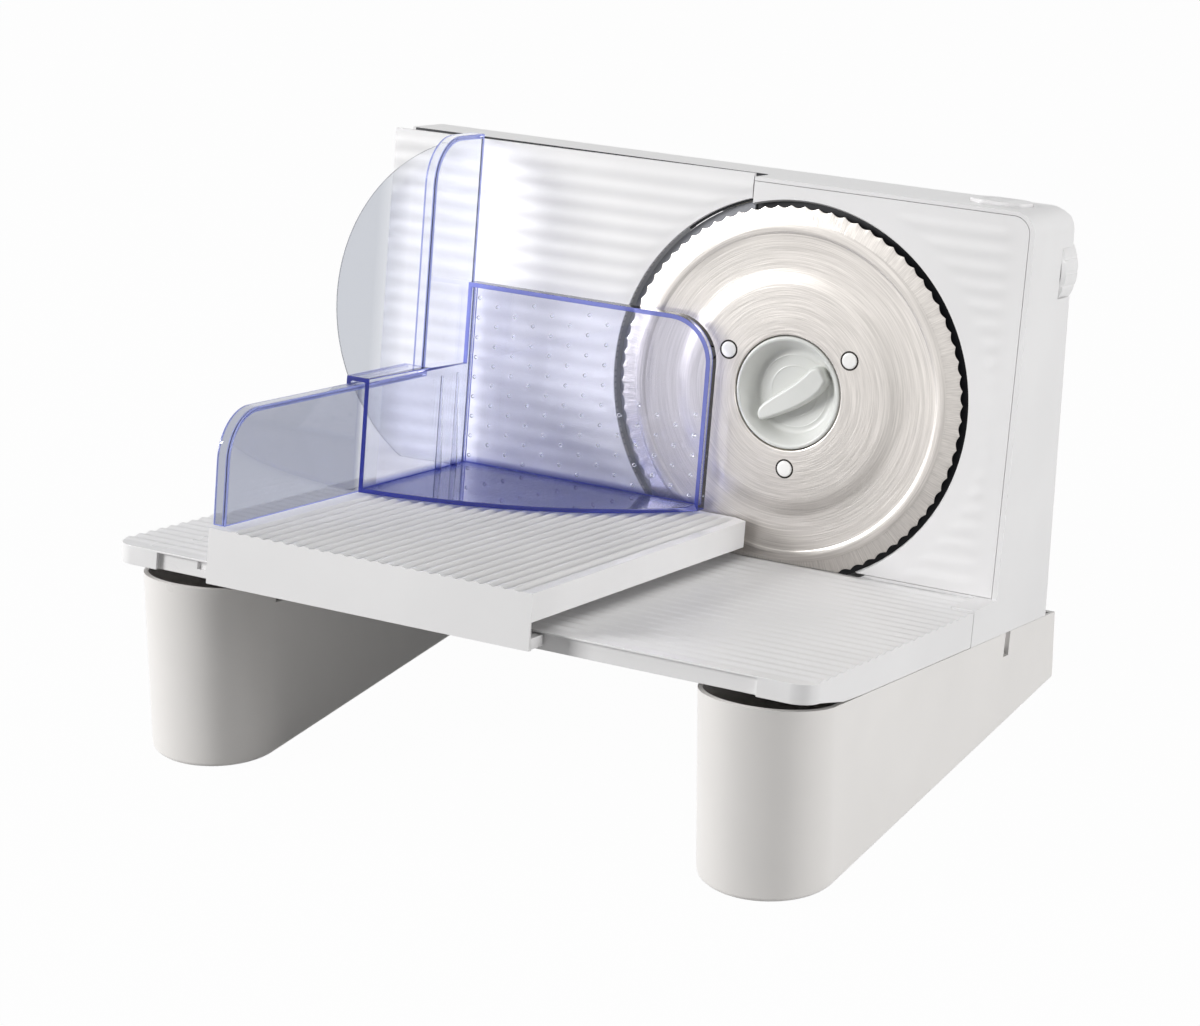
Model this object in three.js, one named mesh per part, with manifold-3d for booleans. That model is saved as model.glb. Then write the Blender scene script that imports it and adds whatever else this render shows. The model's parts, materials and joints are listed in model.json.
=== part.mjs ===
// An electric food slicer for the kitchen: a toothed blade in a wall that leans back on two hollow legs,
// a ribbed table with a sliding carriage, a clear guard and pusher, and a thickness plate set by a dial.
// Millimetres. The machine's own frame has its origin at the blade's centre on the cutting plane,
// x to the right, y to the rear and z up along the wall. The machine group leans back as a whole.

import * as THREE from 'three';
import { mergeVertices } from 'three/addons/utils/BufferGeometryUtils.js';
import Module from 'manifold-3d';

const wasm = await Module();
wasm.setup();

// Driving dimensions

// Layout, measured from the blade's centre
const LEAN_DEG = 9.7;
const BLADE_RADIUS = 95;
const BLADE_GAP = 5;
const BLADE_BELOW_TABLE = 13.5;
const STAND_HEIGHT = 73.5;
const TOP_MARGIN = 6.6;
const RIGHT_MARGIN = 22.8;
const AXIS_TO_LEFT = 255.4;
const WALL_FACE = 1;
const FIT = 0.3;
const RUNNING_GAP = 0.8;
const SHAFT_FIT = 0.1;

// Stand
const LEG_WIDTH = 66;
const LEG_INSET_RIGHT = 0.3;
const LEG_INSET_LEFT = 5;
const LEG_OVERHANG = 17;
const LEG_SETBACK = 4.3;
const LEG_WALL = 2.4;
const LEG_FLOOR = 4.5;
const SKIRT_DROP = 19.2;
const SEAM_TILT_DEG = 1.1;
const SEAM_MARGIN = 4;
const BRIDGE_DEPTH = 13;
const FOOT_RADIUS = 9;
const FOOT_PROUD = 1;
const FOOT_SEAT = 2;
const FOOT_FROM_END = 32;
const SNAP_WIDTH = 6.5;
const SNAP_DEPTH = 13;
const SNAP_FROM_WALL = 22;
const INNER_SLOT = 9;
const INNER_SLOT_FROM_EDGE = 44;

// Table
const TABLE_REACH = 218;
const TABLE_EDGE = 10.5;
const TABLE_SHEET = 3;
const TABLE_RIB_PITCH = 9;
const TABLE_RIB_HEIGHT = 1;
const TABLE_RIM = 8;
const TABLE_CORNER = 11;
const SKIRT_RUN = 27;
const TABLE_BLADE_GAP = 3;
const TOE_WIDTH = 12;
const TOE_REACH = 28;
const RAIL_LEFT = 229;
const RAIL_RIGHT = 96;
const RAIL_DEPTH = 2.6;
const RAIL_TOP = 2;
const LATCH_HOLE = 4.6;
const LATCH_FROM_AXIS = 206.7;

// Housing
const DEPTH_AT_TOP = 54.5;
const DEPTH_AT_SILL = 74.3;
const SHELL = 3;
const LID = 2;
const BEZEL = 2.7;
const LEDGE = 3;
const BOX_LEFT = 22;
const BEAM_FRONT = 19.3;
const BEAM_DEPTH = 22;
const POST_WIDTH = 25;
const BODY_LEFT = 243;
const SHELL_CHAMFER = 5;
const DRUM_RADIUS = 40;

// Ribbed wall
const WALL_RIB_PITCH = 9.09;
const WALL_RIB_HEIGHT = 0.8;
const PANEL_SHEET = 2.5;
const PANEL_CORNER = 9;
const PANEL_BORDER = 10;
const PANEL_RING = 8;
const PANEL_LIP = 2.5;
const PLATE_LEFT = 242.5;
const PLATE_RIGHT = 29.7;
const PLATE_RIM = 7.5;
const PLATE_RISE = 0.3;
const PLATE_SLANT = 1.2;
const PLATE_RIM_HALF = 76;
const PLATE_WALL = 2.5;

// Blade and its hub
const BLADE_SHEET = 1.2;
const TOOTH_COUNT = 80;
const TOOTH_DEPTH = 1.3;
const TOOTH_DIPS = [0, 0.75, 1, 0.75];
const BEVEL_WIDTH = 8.4;
const BEAD_WIDTH = 5.3;
const BEAD_HEIGHT = 0.6;
const STEP_RADIUS = 58;
const STEP_HEIGHT = 0.5;
const RIVET_COUNT = 3;
const RIVET_CIRCLE = 38.9;
const RIVET_PHASE_DEG = 33.3;
const RIVET_HEAD = 4.2;
const RIVET_SHANK = 2;
const HUB_FLANGE = 46;
const HUB_FLANGE_SHEET = 2.6;
const HUB_WALL = 2.6;
const HUB_FLOOR = 2.5;
const WELL_DEPTH = 15;
const WELL_SHEET = 2.5;

// Lock knob
const KNOB_RADIUS = 29;
const KNOB_PROUD = 0.9;
const KNOB_RIM = 2.6;
const KNOB_DISH = 8;
const KNOB_FLOOR = 21.3;
const KNOB_SHEET = 2.5;
const GRIP_ANGLE_DEG = 31;
const GRIP_TIP = 22;
const GRIP_HEEL = 18.7;
const GRIP_CREST = 15.5;
const GRIP_END = 21.5;
const GRIP_RISE = 6.6;
const GRIP_SAG = 9.5;

// Drive
const SPINDLE_RADIUS = 7;
const BUSH_WALL = 2.7;
const GEAR_TEETH = 40;
const GEAR_PITCH_RADIUS = 32;
const GEAR_WIDTH = 10;
const GEAR_FROM_WELL = 14.5;
const TOOTH_ADDENDUM = 1.4;
const TOOTH_DEDENDUM = 2.2;
const TOOTH_ROOT_SHARE = 0.28;
const TOOTH_TIP_SHARE = 0.12;
const WORM_RADIUS = 8;
const WORM_CORE = 5.2;
const WORM_LENGTH = 28;
const WORM_SHAFT = 3;
const THREAD_SHARE = 0.3;
const MOTOR_RADIUS = 18.5;
const MOTOR_TOP = 31;
const MOTOR_CLEAR = 4.9;
const MOTOR_CAP = 10;
const FRAME_SHEET = 3;
const FRAME_TOP = 38;

// Thickness setting
const PLATE_TRAVEL = 15;
const DIAL_TURN_DEG = 270;
const DIAL_RADIUS = 27.5;
const DIAL_PROUD = 2.3;
const DIAL_UNDER_CARRIER = 18;
const DIAL_DEPTH = 20;
const DIAL_REAR_PROUD = 5;
const DIAL_GROOVES = 24;
const CAM_RADIUS = 9;
const CAM_LENGTH = 26;
const CAM_GROOVE = 2.6;
const CAM_OVERRUN_DEG = 20;
const PIN_RADIUS = 1.8;
const PIN_DEPTH = 1.4;
const CARRIER_BAR = 6;
const CARRIER_HEIGHT = 8;
const CARRIER_FROM_TOP = 14.6;
const CARRIER_REST = 20;
const ROD_RADIUS = 3;
const ROD_LEFT = 180;
const ROD_RIGHT = 75;
const POST_LEFT = 200;
const POST_RIGHT = 64;
const POST_THICK = 8;

// Power button
const BUTTON_FROM_RIGHT = 29.8;
const BUTTON_Y = 29;
const BUTTON_LENGTH = 32;
const BUTTON_WIDTH = 22;
const BUTTON_PROUD = 1.6;
const BUTTON_DISH = 60;
const BUTTON_DIP = 1.1;
const BUTTON_TRAVEL = 3;
const BUTTON_FLANGE = 2;
const SWITCH_SIZE = [13, 9.5, 10];
const SWITCH_FROM_DIAL = 34.6;
const FINGER_WIDTH = 6;

// Rear
const COVER_SHEET = 3;
const VENT_COUNT = 6;
const VENT_PITCH = 8;
const VENT_SLOT = 3.5;
const VENT_LENGTH = 50;
const VENT_FROM_SILL = 24.2;
const SCREW_HEAD = 3.5;
const SCREW_SHANK = 1.6;
const SCREW_INSET = 9;
const GLAND_RADIUS = 6;
const GLAND_BORE = 3.2;
const GLAND_FROM_SIDE = 19.8;
const GLAND_FROM_SILL = 14.2;

// Carriage, guard and pusher
const CARRIAGE_LEFT = 191.6;
const CARRIAGE_RIGHT = 13.5;
const CARRIAGE_OVERHANG = 11.7;
const CARRIAGE_REAR = 4;
const CARRIAGE_RISE = 19.5;
const CARRIAGE_SHEET = 2.6;
const CARRIAGE_SIDE = 14.5;
const CARRIAGE_APRON = 28;
const CARRIAGE_RIB_PITCH = 6.6;
const CARRIAGE_RIB_HEIGHT = 0.8;
const CARRIAGE_BORDER = 6;
const CARRIAGE_CHAMFER = 8;
const RUNNER_WIDTH = 4;
const RUNNER_FROM_APRON = 39.7;
const RUNNER_REAR = 36;
const TONGUE_HEIGHT = 5.5;
const GUARD_SHEET = 2;
const GUARD_FLANGE = 7;
const GUARD_SETBACK = 2.7;
const GUARD_REAR = 5;
const GUARD_LOW = 56;
const GUARD_OVER_TOP = 4;
const GUARD_TALL = 51.5;
const GUARD_CORNER = 24;
const SHIELD_RADIUS = 96;
const SHIELD_X = -172.5;
const SHIELD_Z = 14;
const SHIELD_SHEET = 2;
const PUSHER_SHEET = 2.4;
const PUSHER_RIGHT = 39;
const PUSHER_FRONT = 110;
const PUSHER_TOP = 33;
const PUSHER_CORNER = 24;
const PUSHER_FLANGE = 8;
const PUSHER_SIDE = 57;
const HOOK_LENGTH = 56;
const STUD_PITCH_X = 11;
const STUD_PITCH_Z = 10.6;
const STUD_LEVEL = 24.4;
const STUD_ROWS = 3;
const STUD_BARE = 57;
const STUD_RADIUS = 1.1;
const STUD_HEIGHT = 1.6;

// Values that follow from the driving dimensions

const LEAN = THREE.MathUtils.degToRad(LEAN_DEG);
const SEAM_TILT = THREE.MathUtils.degToRad(SEAM_TILT_DEG);
const OPENING_RADIUS = BLADE_RADIUS + BLADE_GAP;
const AXIS_TO_TABLE = OPENING_RADIUS - BLADE_BELOW_TABLE;
const AXIS_TO_GROUND = AXIS_TO_TABLE + STAND_HEIGHT;
const AXIS_TO_TOP = OPENING_RADIUS + TOP_MARGIN;
const AXIS_TO_RIGHT = OPENING_RADIUS + RIGHT_MARGIN;
const LEG_FRONT = TABLE_REACH + LEG_OVERHANG;
const LEG_REAR = DEPTH_AT_SILL - LEG_SETBACK;
const TABLE_TOP = -AXIS_TO_TABLE;
const STAND_TOP = TABLE_TOP - SKIRT_DROP;
const PANEL_BACK = WALL_FACE + PANEL_SHEET;
const SEAT_DEPTH = PANEL_BACK + FIT;
const WELL_BACK = WELL_DEPTH + WELL_SHEET;
const SEAT_TOP = AXIS_TO_TOP - LID;
const SEAT_RIGHT = AXIS_TO_RIGHT - BEZEL;
const SILL_TOP = TABLE_TOP - FIT;
const BAY_RIGHT = AXIS_TO_RIGHT - SHELL;
const BAY_TOP = AXIS_TO_TOP - SHELL;
const BAY_LEFT = -BOX_LEFT + SHELL;
const BAY_BOTTOM = TABLE_TOP + FIT;
const REAR_SLOPE = (DEPTH_AT_TOP - DEPTH_AT_SILL) / (AXIS_TO_TOP - STAND_TOP);
const GEAR_FRONT = WELL_BACK + GEAR_FROM_WELL;
const GEAR_MIDDLE = GEAR_FRONT + GEAR_WIDTH / 2;
const WORM_X = GEAR_PITCH_RADIUS + WORM_RADIUS;
const WORM_LEAD = (2 * Math.PI * GEAR_PITCH_RADIUS) / GEAR_TEETH;
const FRAME_BACK = GEAR_FRONT + GEAR_WIDTH + WORM_RADIUS;
const DIAL_X = AXIS_TO_RIGHT + DIAL_PROUD - DIAL_RADIUS;
const BUTTON_X = AXIS_TO_RIGHT - BUTTON_FROM_RIGHT;
const SWITCH_X = DIAL_X - SWITCH_FROM_DIAL;
const CARRIER_LEVEL = AXIS_TO_TOP - CARRIER_FROM_TOP;
const DIAL_HEIGHT = CARRIER_LEVEL - DIAL_UNDER_CARRIER;
const VENT_LEVEL = BAY_BOTTOM + VENT_FROM_SILL;
const GLAND_X = BAY_RIGHT - GLAND_FROM_SIDE;
const GLAND_LEVEL = BAY_BOTTOM + GLAND_FROM_SILL;
const CARRIAGE_FRONT = TABLE_REACH + CARRIAGE_OVERHANG;
const RUNNER_FRONT = CARRIAGE_FRONT - RUNNER_FROM_APRON;
const GUARD_FRONT = CARRIAGE_FRONT - GUARD_SETBACK;
const CARRIAGE_TOP = TABLE_TOP + CARRIAGE_RISE;
const GUARD_BASE = CARRIAGE_TOP + FIT;
const GUARD_HIGH = AXIS_TO_TOP + GUARD_OVER_TOP - GUARD_BASE;
const GUARD_OUTER = -CARRIAGE_LEFT + FIT;
const GUARD_INNER = GUARD_OUTER + GUARD_FLANGE;
const PUSHER_LEFT = GUARD_INNER + RUNNING_GAP;
const PUSHER_FLOOR = CARRIAGE_TOP + 2 * FIT;
const PUSHER_REAR = -GUARD_REAR;

/** Depth of the housing's sloping rear face at a height. */
function rearAt(z) {
  return DEPTH_AT_SILL + REAR_SLOPE * (z - STAND_TOP);
}

// Geometry helpers

const ALONG = {
  x: new THREE.Matrix4().set(0, 0, 1, 0, 1, 0, 0, 0, 0, 1, 0, 0, 0, 0, 0, 1),
  y: new THREE.Matrix4().set(1, 0, 0, 0, 0, 0, -1, 0, 0, 1, 0, 0, 0, 0, 0, 1),
  z: new THREE.Matrix4(),
};
const FINE = 72;
const ROUND = 24;
const CURVE_STEPS = 16;
const RIB_STEPS = 6;
const THREAD_STEPS = 10;
const CAM_STEPS = 36;
const STUD_SIDES = 5;

/** Makes a closed geometry a solid, with its faces pointing out. */
function solid(geometry) {
  const bare = geometry.clone();
  bare.deleteAttribute('normal');
  bare.deleteAttribute('uv');
  const merged = mergeVertices(bare, 1e-4);
  const place = merged.attributes.position;
  const corner = [new THREE.Vector3(), new THREE.Vector3(), new THREE.Vector3()];
  const triangles = [];
  let volume = 0;
  for (let i = 0; i < merged.index.count; i += 3) {
    const ids = [0, 1, 2].map((k) => merged.index.getX(i + k));
    if (new Set(ids).size < 3) continue;
    ids.forEach((id, k) => corner[k].fromBufferAttribute(place, id));
    volume += corner[0].dot(corner[1].clone().cross(corner[2]));
    triangles.push(ids);
  }
  const outward = volume < 0 ? triangles.map(([a, b, c]) => [a, c, b]) : triangles;
  return new wasm.Manifold(new wasm.Mesh({
    numProp: 3,
    vertProperties: Float32Array.from(place.array),
    triVerts: Uint32Array.from(outward.flat()),
  }));
}

/** Gives a solid back as a geometry. */
function geometryOf(body) {
  const mesh = body.getMesh();
  const geometry = new THREE.BufferGeometry();
  geometry.setAttribute('position', new THREE.BufferAttribute(Float32Array.from(mesh.vertProperties), 3));
  geometry.setIndex(new THREE.BufferAttribute(Uint32Array.from(mesh.triVerts), 1));
  geometry.computeVertexNormals();
  return geometry;
}

/** Outline through a list of points. */
function outline(points) {
  return new THREE.Shape(points.map(([a, b]) => new THREE.Vector2(a, b)));
}

/** Rectangle with one radius for each corner: lower left, lower right, upper right, upper left. */
function rounded(a0, b0, a1, b1, [r0, r1, r2, r3]) {
  const shape = new THREE.Shape();
  shape.moveTo(a0 + r0, b0);
  shape.lineTo(a1 - r1, b0);
  if (r1) shape.absarc(a1 - r1, b0 + r1, r1, -Math.PI / 2, 0);
  shape.lineTo(a1, b1 - r2);
  if (r2) shape.absarc(a1 - r2, b1 - r2, r2, 0, Math.PI / 2);
  shape.lineTo(a0 + r3, b1);
  if (r3) shape.absarc(a0 + r3, b1 - r3, r3, Math.PI / 2, Math.PI);
  shape.lineTo(a0, b0 + r0);
  if (r0) shape.absarc(a0 + r0, b0 + r0, r0, Math.PI, 1.5 * Math.PI);
  return shape;
}

/** Extrudes an outline along an axis: (y, z) along x, (x, z) along y or (x, y) along z. */
function prism(shape, axis, from, to, curveSegments = 8) {
  const geometry = new THREE.ExtrudeGeometry(shape, { depth: to - from, bevelEnabled: false,
    curveSegments });
  geometry.applyMatrix4(ALONG[axis]);
  const start = { x: [from, 0, 0], y: [0, to, 0], z: [0, 0, from] }[axis];
  return solid(geometry.translate(...start));
}

/** A block between two corners. */
function block([x0, y0, z0], [x1, y1, z1]) {
  const geometry = new THREE.BoxGeometry(x1 - x0, y1 - y0, z1 - z0);
  return solid(geometry.translate((x0 + x1) / 2, (y0 + y1) / 2, (z0 + z1) / 2));
}

/** A round bar along y about the point x, z. */
function bar(radius, y0, y1, x = 0, z = 0, segments = ROUND) {
  const geometry = new THREE.CylinderGeometry(radius, radius, y1 - y0, segments);
  return solid(geometry.translate(x, (y0 + y1) / 2, z));
}

/** A turned piece about y from [radius, y] points. */
function turned(points, segments = ROUND, x = 0, z = 0) {
  const profile = points.map(([r, y]) => new THREE.Vector2(r, y));
  return solid(new THREE.LatheGeometry(profile, segments).translate(x, 0, z));
}

/** A turned piece about an upright axis from [radius, z] points. */
function turnedUpright(points, segments, x, y) {
  const profile = points.map(([r, z]) => new THREE.Vector2(r, z));
  return solid(new THREE.LatheGeometry(profile, segments).rotateX(Math.PI / 2).translate(x, y, 0));
}

/** Points of a row of rounded ribs along the first coordinate, rising from base by height. */
function ribs(from, to, pitch, base, height) {
  const count = Math.max(1, Math.round((to - from) / pitch));
  const points = [];
  for (let i = 0; i <= count * RIB_STEPS; i += 1) {
    const t = i / (count * RIB_STEPS);
    const rise = (1 - Math.cos(2 * Math.PI * count * t)) / 2;
    points.push([from + (to - from) * t, base + height * rise]);
  }
  return points;
}

/** Joins solids. */
function join(...bodies) {
  return bodies.reduce((whole, body) => whole.add(body));
}

/** Cuts the later solids out of the first. */
function cut(body, ...tools) {
  return tools.reduce((rest, tool) => rest.subtract(tool), body);
}

// Materials

const FINISH = {
  shell: { color: 0xefeeeb, roughness: 0.35, metalness: 0 },
  leg: { color: 0xe6e4df, roughness: 0.35, metalness: 0 },
  clear: { color: 0xbfc6f2, roughness: 0.08, metalness: 0, transparent: true, opacity: 0.35 },
  steel: { color: 0xd8d4d0, roughness: 0.3, metalness: 1 },
  zinc: { color: 0x9a9ca0, roughness: 0.5, metalness: 1 },
  dark: { color: 0x1a1c24, roughness: 0.6, metalness: 0 },
  nylon: { color: 0xe9e4d6, roughness: 0.55, metalness: 0 },
  bronze: { color: 0xb08a4e, roughness: 0.45, metalness: 1 },
  rubber: { color: 0x2a2a2c, roughness: 0.9, metalness: 0 },
};

/** Adds a solid to a group as a named piece. */
function place(group, name, body, finish) {
  const mesh = new THREE.Mesh(geometryOf(body), new THREE.MeshStandardMaterial(FINISH[finish]));
  mesh.name = name;
  group.add(mesh);
}

// Groups: the stand is upright on the ground, the machine leans back on it

const model = new THREE.Group();
const stand = new THREE.Group();
const machine = new THREE.Group();
machine.rotation.x = -LEAN;
machine.position.z = AXIS_TO_GROUND;
machine.updateMatrix();
model.add(stand, machine);

// Stand: two hollow legs with round fronts, a cross member behind and four rubber feet

/** All that lies on one side of the seam between the machine and its stand: 1 above it, -1 below it. */
function beyondSeam(side, shift) {
  const reach = 2 * (AXIS_TO_LEFT + LEG_FRONT);
  const geometry = new THREE.BoxGeometry(reach, reach, reach).translate(0, 0, (side * reach) / 2);
  return solid(geometry.rotateX(-SEAM_TILT).translate(0, 0, STAND_TOP + shift));
}

/** All that lies above the stand, on the ground's frame. */
function aboveStand(gap) {
  return beyondSeam(1, -gap).transform(machine.matrix.elements);
}

/** Plan of a leg, drawn in by a wall: straight behind, a half circle in front. */
function legPlan(left, inset) {
  const radius = LEG_WIDTH / 2 - inset;
  const middle = left + LEG_WIDTH / 2;
  const shape = new THREE.Shape();
  shape.moveTo(middle + radius, LEG_REAR - inset);
  shape.lineTo(middle - radius, LEG_REAR - inset);
  shape.lineTo(middle - radius, -LEG_FRONT + LEG_WIDTH / 2);
  shape.absarc(middle, -LEG_FRONT + LEG_WIDTH / 2, radius, Math.PI, 2 * Math.PI);
  return shape;
}

const legFeet = [-LEG_FRONT + FOOT_FROM_END, LEG_REAR - FOOT_FROM_END];

/** An upright round bar on the ground frame. */
function post(radius, z0, z1, x, y) {
  const geometry = new THREE.CylinderGeometry(radius, radius, z1 - z0, ROUND);
  return solid(geometry.rotateX(Math.PI / 2).translate(x, y, (z0 + z1) / 2));
}

/** Slot through a leg's wall for a snap tab, open at the top. */
function snapSlot(wall, y, width) {
  const slot = block([wall - 2 * LEG_WALL, y - width / 2, STAND_TOP - SNAP_DEPTH],
    [wall + 2 * LEG_WALL, y + width / 2, STAND_TOP + SNAP_DEPTH]);
  return slot.transform(machine.matrix.elements);
}

/** A leg from its left side, with the slots in its outer and inner walls, and its two feet. */
function addLeg(side, left, outerWall, innerWall) {
  const hollow = prism(legPlan(left, LEG_WALL), 'z', FOOT_PROUD + LEG_FLOOR, AXIS_TO_GROUND, CURVE_STEPS);
  const middle = left + LEG_WIDTH / 2;
  const seats = legFeet.map((y) => post(FOOT_RADIUS + FIT, 0, FOOT_PROUD + FOOT_SEAT, middle, y));
  const shell = prism(legPlan(left, 0), 'z', FOOT_PROUD, AXIS_TO_GROUND, CURVE_STEPS);
  const slots = [snapSlot(outerWall, WALL_FACE + SNAP_FROM_WALL, SNAP_WIDTH),
    snapSlot(innerWall, INNER_SLOT_FROM_EDGE - TABLE_REACH, INNER_SLOT)];
  place(stand, `${side}_leg`, cut(shell, hollow, aboveStand(FIT), ...slots, ...seats), 'leg');
  legFeet.forEach((y, i) => {
    const name = `${side}_${i === 0 ? 'front' : 'rear'}_foot`;
    place(stand, name, post(FOOT_RADIUS, 0, FOOT_PROUD + FOOT_SEAT - FIT, middle, y), 'rubber');
  });
}

const rightLegOuter = AXIS_TO_RIGHT - LEG_INSET_RIGHT;
const rightLegInner = rightLegOuter - LEG_WIDTH;
const leftLegOuter = -AXIS_TO_LEFT + LEG_INSET_LEFT;
const leftLegInner = leftLegOuter + LEG_WIDTH;
addLeg('right', rightLegInner, rightLegOuter, rightLegInner);
addLeg('left', leftLegOuter, leftLegOuter, leftLegInner);

const bridgeOuter = [[LEG_REAR - BRIDGE_DEPTH, FOOT_PROUD], [LEG_REAR, FOOT_PROUD],
  [LEG_REAR, AXIS_TO_GROUND], [LEG_REAR - BRIDGE_DEPTH, AXIS_TO_GROUND]];
const bridgeLeft = leftLegInner + FIT;
const bridgeRight = rightLegInner - FIT;
const bridgeHollow = block(
  [bridgeLeft + LEG_WALL, LEG_REAR - BRIDGE_DEPTH + LEG_WALL, 0],
  [bridgeRight - LEG_WALL, LEG_REAR - LEG_WALL, AXIS_TO_GROUND],
);
const bridgeFill = cut(prism(outline(bridgeOuter), 'x', bridgeLeft, bridgeRight), aboveStand(FIT));
const bridgeCavity = cut(bridgeHollow, aboveStand(FIT + LEG_WALL));
place(stand, 'stand_bridge', cut(bridgeFill, bridgeCavity), 'leg');

// Table: a ribbed sheet with deep sides, a front rail between two stops and a notch for the blade

function buildTable() {
  const front = -TABLE_REACH;
  const rear = WALL_FACE - FIT;
  const left = -AXIS_TO_LEFT;
  const right = AXIS_TO_RIGHT;
  const base = TABLE_TOP - TABLE_RIB_HEIGHT;
  const crest = ribs(front + TABLE_RIM, rear - TABLE_RIM / 2, TABLE_RIB_PITCH, base, TABLE_RIB_HEIGHT);
  const profile = outline([[front, TABLE_TOP - TABLE_EDGE], [rear, TABLE_TOP - TABLE_EDGE], [rear, base],
    ...crest.reverse(), [front, base]]);
  const corners = [TABLE_CORNER, TABLE_CORNER, 0, 0];
  const plan = prism(rounded(left, front, right, rear, corners), 'z', STAND_TOP, TABLE_TOP);
  const sheet = prism(profile, 'x', left, right).intersect(plan);
  const under = TABLE_TOP - TABLE_RIB_HEIGHT - TABLE_SHEET;
  const cornerEnd = front + TABLE_CORNER;
  const skirt = outline([[cornerEnd, TABLE_TOP - TABLE_EDGE], [cornerEnd + SKIRT_RUN,
    STAND_TOP + SEAM_MARGIN],
    [rear, STAND_TOP - SEAM_MARGIN], [rear, under], [cornerEnd, under]]);
  const sides = [left, right - SHELL].map((x) => cut(prism(skirt, 'x', x, x + SHELL), beyondSeam(-1, 0)));
  const cavity = block([left + SHELL, front + RAIL_DEPTH + SHELL, STAND_TOP - SEAM_MARGIN],
    [right - SHELL, rear - SHELL, under]);
  const railTop = TABLE_TOP - RAIL_TOP;
  const rail = block([-RAIL_LEFT, front - 1, STAND_TOP], [RAIL_RIGHT, front + RAIL_DEPTH, railTop]);
  const latch = block(
    [-LATCH_FROM_AXIS, front - 1, railTop - LATCH_HOLE],
    [-LATCH_FROM_AXIS + LATCH_HOLE, front + RAIL_DEPTH + SHELL / 2, railTop],
  );
  const bladeHalf = Math.sqrt(OPENING_RADIUS ** 2 - AXIS_TO_TABLE ** 2) + TABLE_BLADE_GAP;
  const notch = block([-bladeHalf, -TABLE_BLADE_GAP, STAND_TOP], [bladeHalf, rear + 1, TABLE_TOP + 1]);
  const toes = [[left - 1, left + TOE_WIDTH + FIT], [right - TOE_WIDTH - FIT, right + 1]].map(([x0,
    x1]) => (
    block([x0, -TOE_REACH - FIT, STAND_TOP - SEAM_MARGIN], [x1, rear + 1, TABLE_TOP + 1])));
  return cut(join(sheet, ...sides), cavity, rail, latch, notch, ...toes);
}
place(machine, 'table', buildTable(), 'shell');

// Main housing: motor box on the right, thin lid and beam over the plate, post on the left, sill with toes

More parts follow.
